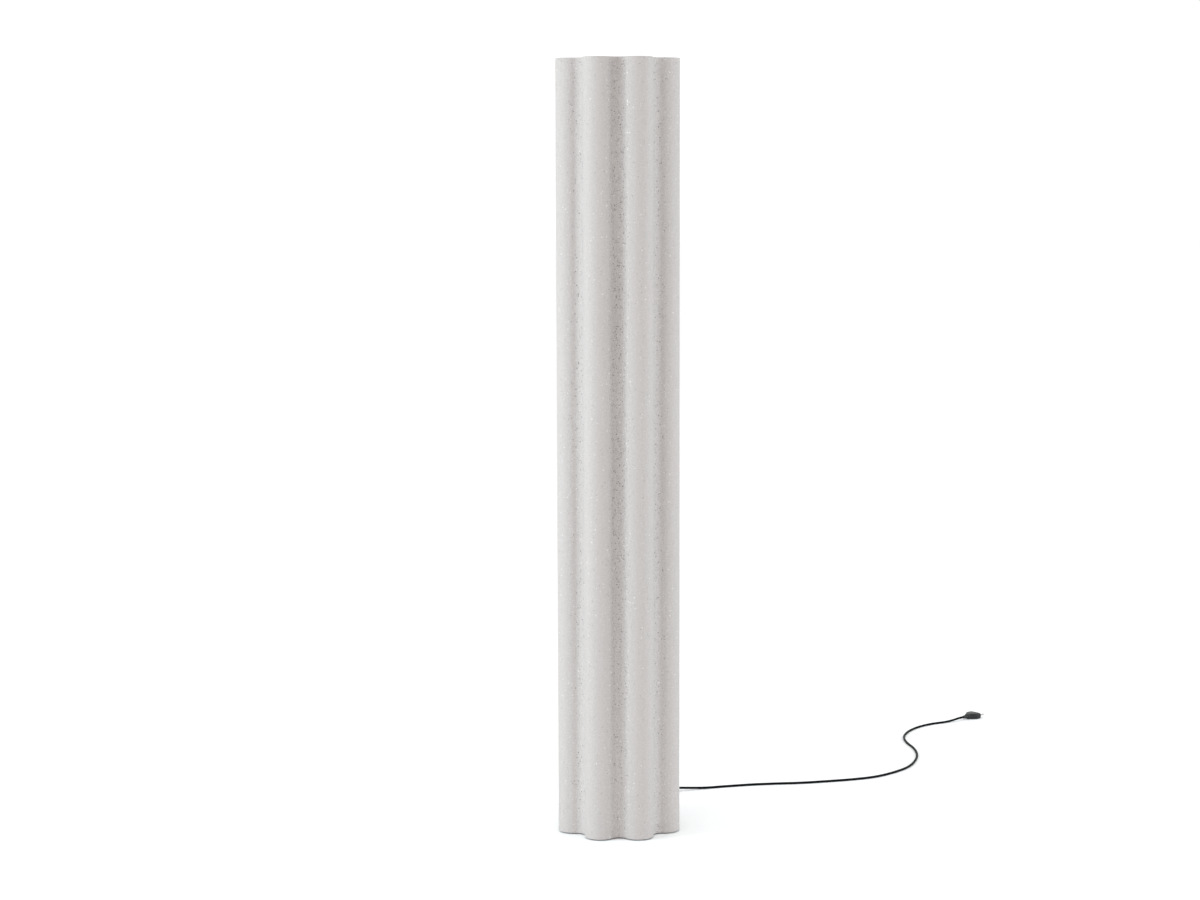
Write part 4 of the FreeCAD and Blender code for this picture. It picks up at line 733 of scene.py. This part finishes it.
stone = Finish("cast_stone", Specular_IOR_Level=0.5)
flat_place = stone.node("ShaderNodeVectorMath", {"operation": "MULTIPLY"}, stone.place, (1, 1, 0))
from_axis = stone.node("ShaderNodeVectorMath", {"operation": "LENGTH"}, flat_place)
in_valley = stone.spread(from_axis, VALLEY_EDGE, VALLEY_FLOOR)
on_flank = stone.spread(from_axis, *FLANK_LOW) * stone.spread(from_axis, *FLANK_HIGH)
axes = stone.axes()
# Painted light: the stone grows paler towards the floor, standing in for the floor's bounce.
painted_bounce_share = stone.spread(axes.output("Z"), BOUNCE_STARTS, BOUNCE_FULL)
at_side = stone.spread(axes.maths("ABSOLUTE", axes), SIDE_STARTS, SIDE_FULL)
# Pit odds: more in the valleys, most in the front and back, fewer towards the floor: the stone's
# grain, and painted shade.
pit_odds_painted_shade = in_valley * (1 - painted_bounce_share * 0.6) * (1 - at_side * 0.6)
print("valleys reach out to", VALLEY_EDGE, "m from the axis, flanks to", FLANK_HIGH[0], "m")

# %% The grains
# Each grain carries three random numbers: red picks the pits, green the glints, blue is its tilt.
COARSE_GRAINS, SMALL_GRAINS = 360, 650
RAGGED = (0.0015, 0.0015, 0.0015)

shaken = stone.noise(700, 1.0).output("Color")
ragged_place = stone.node("ShaderNodeVectorMath", {"operation": "MULTIPLY_ADD"},
                          shaken, RAGGED, stone.place)
coarse = stone.cells(COARSE_GRAINS, ragged_place)
small = stone.cells(SMALL_GRAINS, ragged_place)
coarse_chance = stone.node("ShaderNodeSeparateColor", {}, coarse.output("Color"))
small_chance = stone.node("ShaderNodeSeparateColor", {}, small.output("Color"))
sand = stone.noise(330, 3.0, 0.65)
dust = stone.noise(1400, 3.0, 0.6)
patch = stone.noise(42, 3.0, 0.6)
print("grains:", round(1000 / COARSE_GRAINS, 1), "and", round(1000 / SMALL_GRAINS, 1), "mm")

# %% Pits and glints
# A grain is one where its number is high enough, and it fades towards the grain's edge.
# The pits are grain relief, and their dark colour is painted shade where they crowd the valleys.
coarse_pit_painted_shade = (stone.spread(coarse_chance + pit_odds_painted_shade * 0.085 + patch * 0.04, 1.0, 1.006)
       * stone.spread(coarse, 0.5, 0.25))
small_pit_painted_shade = (stone.spread(small_chance + pit_odds_painted_shade * 0.2 + patch * 0.1, 1.03, 1.06)
             * stone.spread(small, 0.65, 0.35))
# Glint grains, crowded on the flanks and most on the sides, are painted highlights in the colour.
painted_glint_odds = on_flank * (at_side * 0.1 + 0.04)
glint = (stone.spread(coarse_chance.output("Green") + painted_glint_odds + patch * 0.03, 1.0, 1.01)
         * stone.spread(coarse, 0.55, 0.3))
small_painted_glint_odds = on_flank * (at_side * 0.3 + 0.08)
small_glint = (stone.spread(small_chance.output("Green") + small_painted_glint_odds, 0.86, 0.92)
               * stone.spread(small, 0.6, 0.35))
print("pits and glints:", len(stone.tree.nodes), "nodes so far")

# %% The stone's colours
STONE_WARM, STONE_GREY = (0.505, 0.467, 0.451), (0.510, 0.461, 0.445)
# The paler foot colour is painted light from the floor's bounce.
VALLEY_PALE, PAINTED_BOUNCE_PALE = (0.56, 0.515, 0.498), (0.605, 0.562, 0.545)
# The bright grain colour is a painted glint highlight.
GRAIN_DARK, PAINTED_GLINT_COLOUR = (0.42, 0.385, 0.372), (0.86, 0.85, 0.84)
COARSE_PIT_SHADE_DARK, SMALL_PIT_SHADE_DARK = (0.12, 0.105, 0.10), (0.17, 0.15, 0.145)

cloud = stone.noise(9, 3.0, 0.55, stone.stretched(1, 1, 0.35))
clear = stone.spread(cloud, 0.4, 0.6, 1, 0)
# Pits are painted darker in the valleys: painted shade.
pit_strength_painted_shade = in_valley * 0.5 + 0.4
ground = stone.mix(stone.spread(cloud, 0.35, 0.65), STONE_WARM, STONE_GREY)
for share, colour in (
    (clear * in_valley * 0.6, VALLEY_PALE),
    # Painted light from the floor's bounce: paler towards the foot.
    (painted_bounce_share * (in_valley * 0.75 + 0.25), PAINTED_BOUNCE_PALE),
    (stone.spread(sand, 0.35, 0.65) * 0.8, GRAIN_DARK),
    (stone.spread(dust, 0.3, 0.7) * 0.7, GRAIN_DARK),
    # Painted highlights on the glint grains.
    (glint * 0.55 + small_glint * 0.17, PAINTED_GLINT_COLOUR),
    # Pits: the stone's grain, and painted shade in the valleys.
    (coarse_pit_painted_shade * pit_strength_painted_shade, COARSE_PIT_SHADE_DARK),
    (small_pit_painted_shade * pit_strength_painted_shade * 0.6, SMALL_PIT_SHADE_DARK),
):
    ground = stone.mix(share, ground, colour)
print("stone colours:", len(stone.tree.nodes), "nodes so far")

# %% The stone's polish and relief
MATT, POLISHED = 0.74, 0.14
GRAIN_RELIEF = 0.0005

polish = stone.spread(glint + small_glint * 0.6, 0, 1, MATT, POLISHED)
tilt = (1 - small) * 0.35 + (1 - coarse) * 0.25 + dust * 0.3 + small_chance.output("Blue") * 0.35
stone.feed(Base_Color=ground, Roughness=polish + dust * 0.06)
stone.bumped(tilt - coarse_pit_painted_shade * 0.9 - small_pit_painted_shade * 0.6, GRAIN_RELIEF, 0.9)
stone.on(tube)

# %% [markdown]
# ## Finishes of the other pieces
#
# Behind and inside the tube are ordinary lamp parts: powder-coated and zinc-plated steel, brass,
# moulded plastic, rubber, glazed ceramic and a glass bulb. One colour each would do from far
# away, but near to they would look like paint. So each is a short formula: a base colour that a
# slow noise varies, a roughness that a finer one breaks up, and a bump at its real scale.


# %% Two families of finish
def moulded(name, colour, worn, roughness, grain, depth, **constants):
    """A matt or satin surface: colour drifts towards worn, and a fine grain stands up by depth."""
    made = Finish(name, **constants)
    drift = made.noise(24, 3.0)
    speck = made.noise(grain, 2.0, 0.6)
    made.feed(
        Base_Color=made.mix(made.spread(drift, 0.35, 0.7), colour, worn),
        Roughness=made.spread(speck, 0.3, 0.7, roughness - 0.06, roughness + 0.08),
    )
    return made.bumped(speck, depth, 0.6)


def plated(name, colour, tarnish, roughness):
    """Bare or plated metal: a tarnish in clouds, and fine polishing marks in the roughness."""
    made = Finish(name, Metallic=1.0)
    clouds = made.noise(90, 4.0, 0.65)
    marks = made.noise(700, 2.0, 0.5, made.stretched(1, 1, 0.15))
    made.feed(
        Base_Color=made.mix(made.spread(clouds, 0.45, 0.75), colour, tarnish),
        Roughness=made.spread(marks, 0.3, 0.7, roughness - 0.05, roughness + 0.09),
    )
    return made.bumped(marks, 0.00005, 0.5)


# %% Coated, moulded and glazed pieces
moulded("powder_coat", (0.022, 0.022, 0.023), (0.035, 0.035, 0.036), 0.46, 1100, 0.00012).on(
    "base_plate", "finial", "lamp_arm_1", "lamp_arm_2", "pole", "pole_flange", "shade_spider")
moulded("collar_moulding", (0.60, 0.59, 0.56), (0.54, 0.53, 0.50), 0.5, 1400, 0.0001).on(
    "lower_collar", "upper_collar")
moulded("soft_rubber", (0.016, 0.016, 0.017), (0.03, 0.029, 0.028), 0.66, 1800, 0.00008).on(
    "foot_pads", "pole_grommets", relief, *switch_sleeves, plug_sleeve)
moulded("black_moulding", (0.012, 0.012, 0.0125), (0.018, 0.018, 0.0185), 0.38, 2200, 0.00006,
        Specular_IOR_Level=0.3).on(
    "holder_barrel_1", "holder_barrel_2", "holder_cap_1", "holder_cap_2", plug,
    "switch_button", "switch_lower_housing", "switch_upper_housing")
moulded("grey_moulding", (0.30, 0.31, 0.32), (0.26, 0.27, 0.28), 0.45, 1600, 0.00008).on(
    "switch_contact_block", "terminal_box", "terminal_lid")
moulded("clear_moulding", (0.82, 0.85, 0.85), (0.75, 0.78, 0.78), 0.2, 900, 0.00005,
        Transmission_Weight=0.7).on("lead_splices", "terminal_block")
moulded("glazed_ceramic", (0.78, 0.76, 0.72), (0.70, 0.67, 0.62), 0.22, 500, 0.00006,
        Coat_Roughness=0.08).on("holder_inserts")
moulded("silicone_lead", (0.70, 0.70, 0.68), (0.62, 0.61, 0.58), 0.5, 900, 0.00006).on(
    "holder_leads", "pole_leads")
moulded("phosphor", (0.86, 0.62, 0.22), (0.78, 0.52, 0.16), 0.6, 2600, 0.00005).on(
    "bulb_filaments_1", "bulb_filaments_2")
moulded("cord_sheath", (0.003, 0.003, 0.0033), (0.005, 0.005, 0.005), 0.50, 900, 0.00008,
        Specular_IOR_Level=0.06).on(
    lamp_cord, plug_cord, "supply_lead", "cord_coil", "cord_from_lamp", "cord_to_plug",
    "cord_to_switch")

# %% Metal pieces
plated("zinc_plate", (0.62, 0.64, 0.66), (0.50, 0.50, 0.46), 0.32).on(
    "cord_strap", "cord_strap_screws", "flange_screws", "foot_screws", "nipple_nuts",
    "set_screws", "spider_screws", "switch_screws", "terminal_screws", "threaded_nipples",
    "top_stud")
plated("bright_steel", (0.48, 0.48, 0.50), (0.38, 0.36, 0.34), 0.26).on(spring, "switch_spring")
plated("bare_brass", (0.72, 0.52, 0.22), (0.50, 0.34, 0.14), 0.30).on(
    "centre_contacts", "holder_screw_shell_1", "holder_screw_shell_2")
plated("nickel_plate", (0.58, 0.56, 0.52), (0.48, 0.45, 0.40), 0.2).on("plug_pins")

# %% [markdown]
# Three finishes need a pattern of their own. The bulb's cap is rolled to a round thread. Cutting
# the thread into the mesh would cost many faces, so a sine wave of the height draws it in the
# bump, one turn every 3.6 millimetres. The tie is woven, and two crossed waves make its over and
# under. The bulb's glass is clear, with a faint haze.

# %% The bulb caps' thread
THREAD_PITCH = 0.0036
THREAD_DEPTH = 0.0009

cap = Finish("rolled_aluminium", Metallic=1.0)
thread = wave(cap.axes().output("Z"), THREAD_PITCH)
dull = cap.noise(160, 3.0, 0.6)
cap.feed(Base_Color=cap.mix(cap.spread(dull, 0.4, 0.7), (0.74, 0.74, 0.75), (0.60, 0.60, 0.61)),
         Roughness=cap.spread(dull, 0.3, 0.7, 0.24, 0.38))
cap.bumped(thread * 0.5 + 0.5, THREAD_DEPTH, 0.8).on("bulb_cap_1", "bulb_cap_2")

# %% The tie's weave
YARN_PITCH = 0.0011
YARN_DEPTH = 0.0003
TAPE_BLACK, TAPE_WORN = (0.012, 0.012, 0.013), (0.05, 0.05, 0.052)

weave = Finish("woven_tape", Sheen_Weight=0.4, Sheen_Roughness=0.4)
tape_axes = weave.axes()
lengthwise = wave(tape_axes + tape_axes.output("Z"), YARN_PITCH)
over = lengthwise * wave(tape_axes.output("Y"), YARN_PITCH) * 0.5 + 0.5
lint = weave.noise(900, 3.0, 0.7)
weave.feed(Base_Color=weave.mix(over * 0.6 + lint * 0.4, TAPE_BLACK, TAPE_WORN),
           Roughness=weave.spread(lint, 0.3, 0.7, 0.75, 0.95))
weave.bumped(over + lint * 0.4, YARN_DEPTH, 0.8).on(tie, "cord_tie")

# %% The bulbs' glass
GLASS_CLEAR, GLASS_HAZY = (1.0, 0.985, 0.95), (0.93, 0.91, 0.87)

glass = Finish("blown_glass", Transmission_Weight=1.0, IOR=1.45)
haze = glass.noise(40, 4.0, 0.6)
glass.feed(Base_Color=glass.mix(glass.spread(haze, 0.5, 0.8), GLASS_CLEAR, GLASS_HAZY),
           Roughness=glass.spread(haze, 0.5, 0.8, 0.02, 0.09))
glass.on("bulb_globe_1", "bulb_globe_2")

# %% [markdown]
# ## The floor and the light
#
# The photograph has a bare white ground. The floor is a wide pale plane, a bright even sky lights
# everything softly, and two tall soft boxes stand left and right of the camera. Bare lamps would
# draw hard shadows. The left box is the stronger and stands well round to the side, which is
# what draws the sharp edge in the middle valley.

# %% The floor
FLOOR_REACH = 60

floor_mesh = bpy.data.meshes.new("floor")
floor_mesh.from_pydata(
    np.array([[-1, -1, 0], [1, -1, 0], [1, 1, 0], [-1, 1, 0]]) * FLOOR_REACH, [], [[0, 1, 2, 3]])
floor = bpy.data.objects.new("floor", floor_mesh)
bpy.context.collection.objects.link(floor)
plain_floor = Finish("pale_floor", Specular_IOR_Level=0.2)
plain_floor.feed(
    Base_Color=plain_floor.mix(plain_floor.noise(2), (0.955, 0.955, 0.955), (0.965, 0.965, 0.965)),
    Roughness=plain_floor.spread(plain_floor.noise(5), 0, 1, 0.8, 0.9))
plain_floor.on(floor)

# %% The soft boxes and the sky
BOX_DISTANCE = 3.2
BOX_SIZE = (1.2, 2.1)
SKY_STRENGTH = 1.05


def soft_box(name, turn, level, power, colour):
    """A soft box: turn is its way round from the camera's side, in degrees, left is negative."""
    data = bpy.data.lights.new(name, "AREA")
    data.shape = "RECTANGLE"
    data.size, data.size_y = BOX_SIZE
    data.energy = power
    data.color = colour
    lamp = bpy.data.objects.new(name, data)
    bpy.context.collection.objects.link(lamp)
    way = math.radians(turn)
    lamp.location = (BOX_DISTANCE * math.sin(way), -BOX_DISTANCE * math.cos(way), level)
    lamp.rotation_euler = (math.radians(90), 0, way)


soft_box("key_left", turn=-69, level=1.25, power=70.5, colour=(0.78, 0.94, 1.0))
soft_box("fill_right", turn=81, level=1.1, power=39, colour=(0.76, 0.94, 1.0))
world = bpy.data.worlds.new("sky")
bpy.context.scene.world = world
world.use_nodes = True
sky = world.node_tree.nodes["Background"]
sky.inputs["Color"].default_value = (1, 1, 1, 1)
sky.inputs["Strength"].default_value = SKY_STRENGTH
bpy.context.scene.view_settings.view_transform = "Standard"
print("stage: a floor, two soft boxes and a sky")
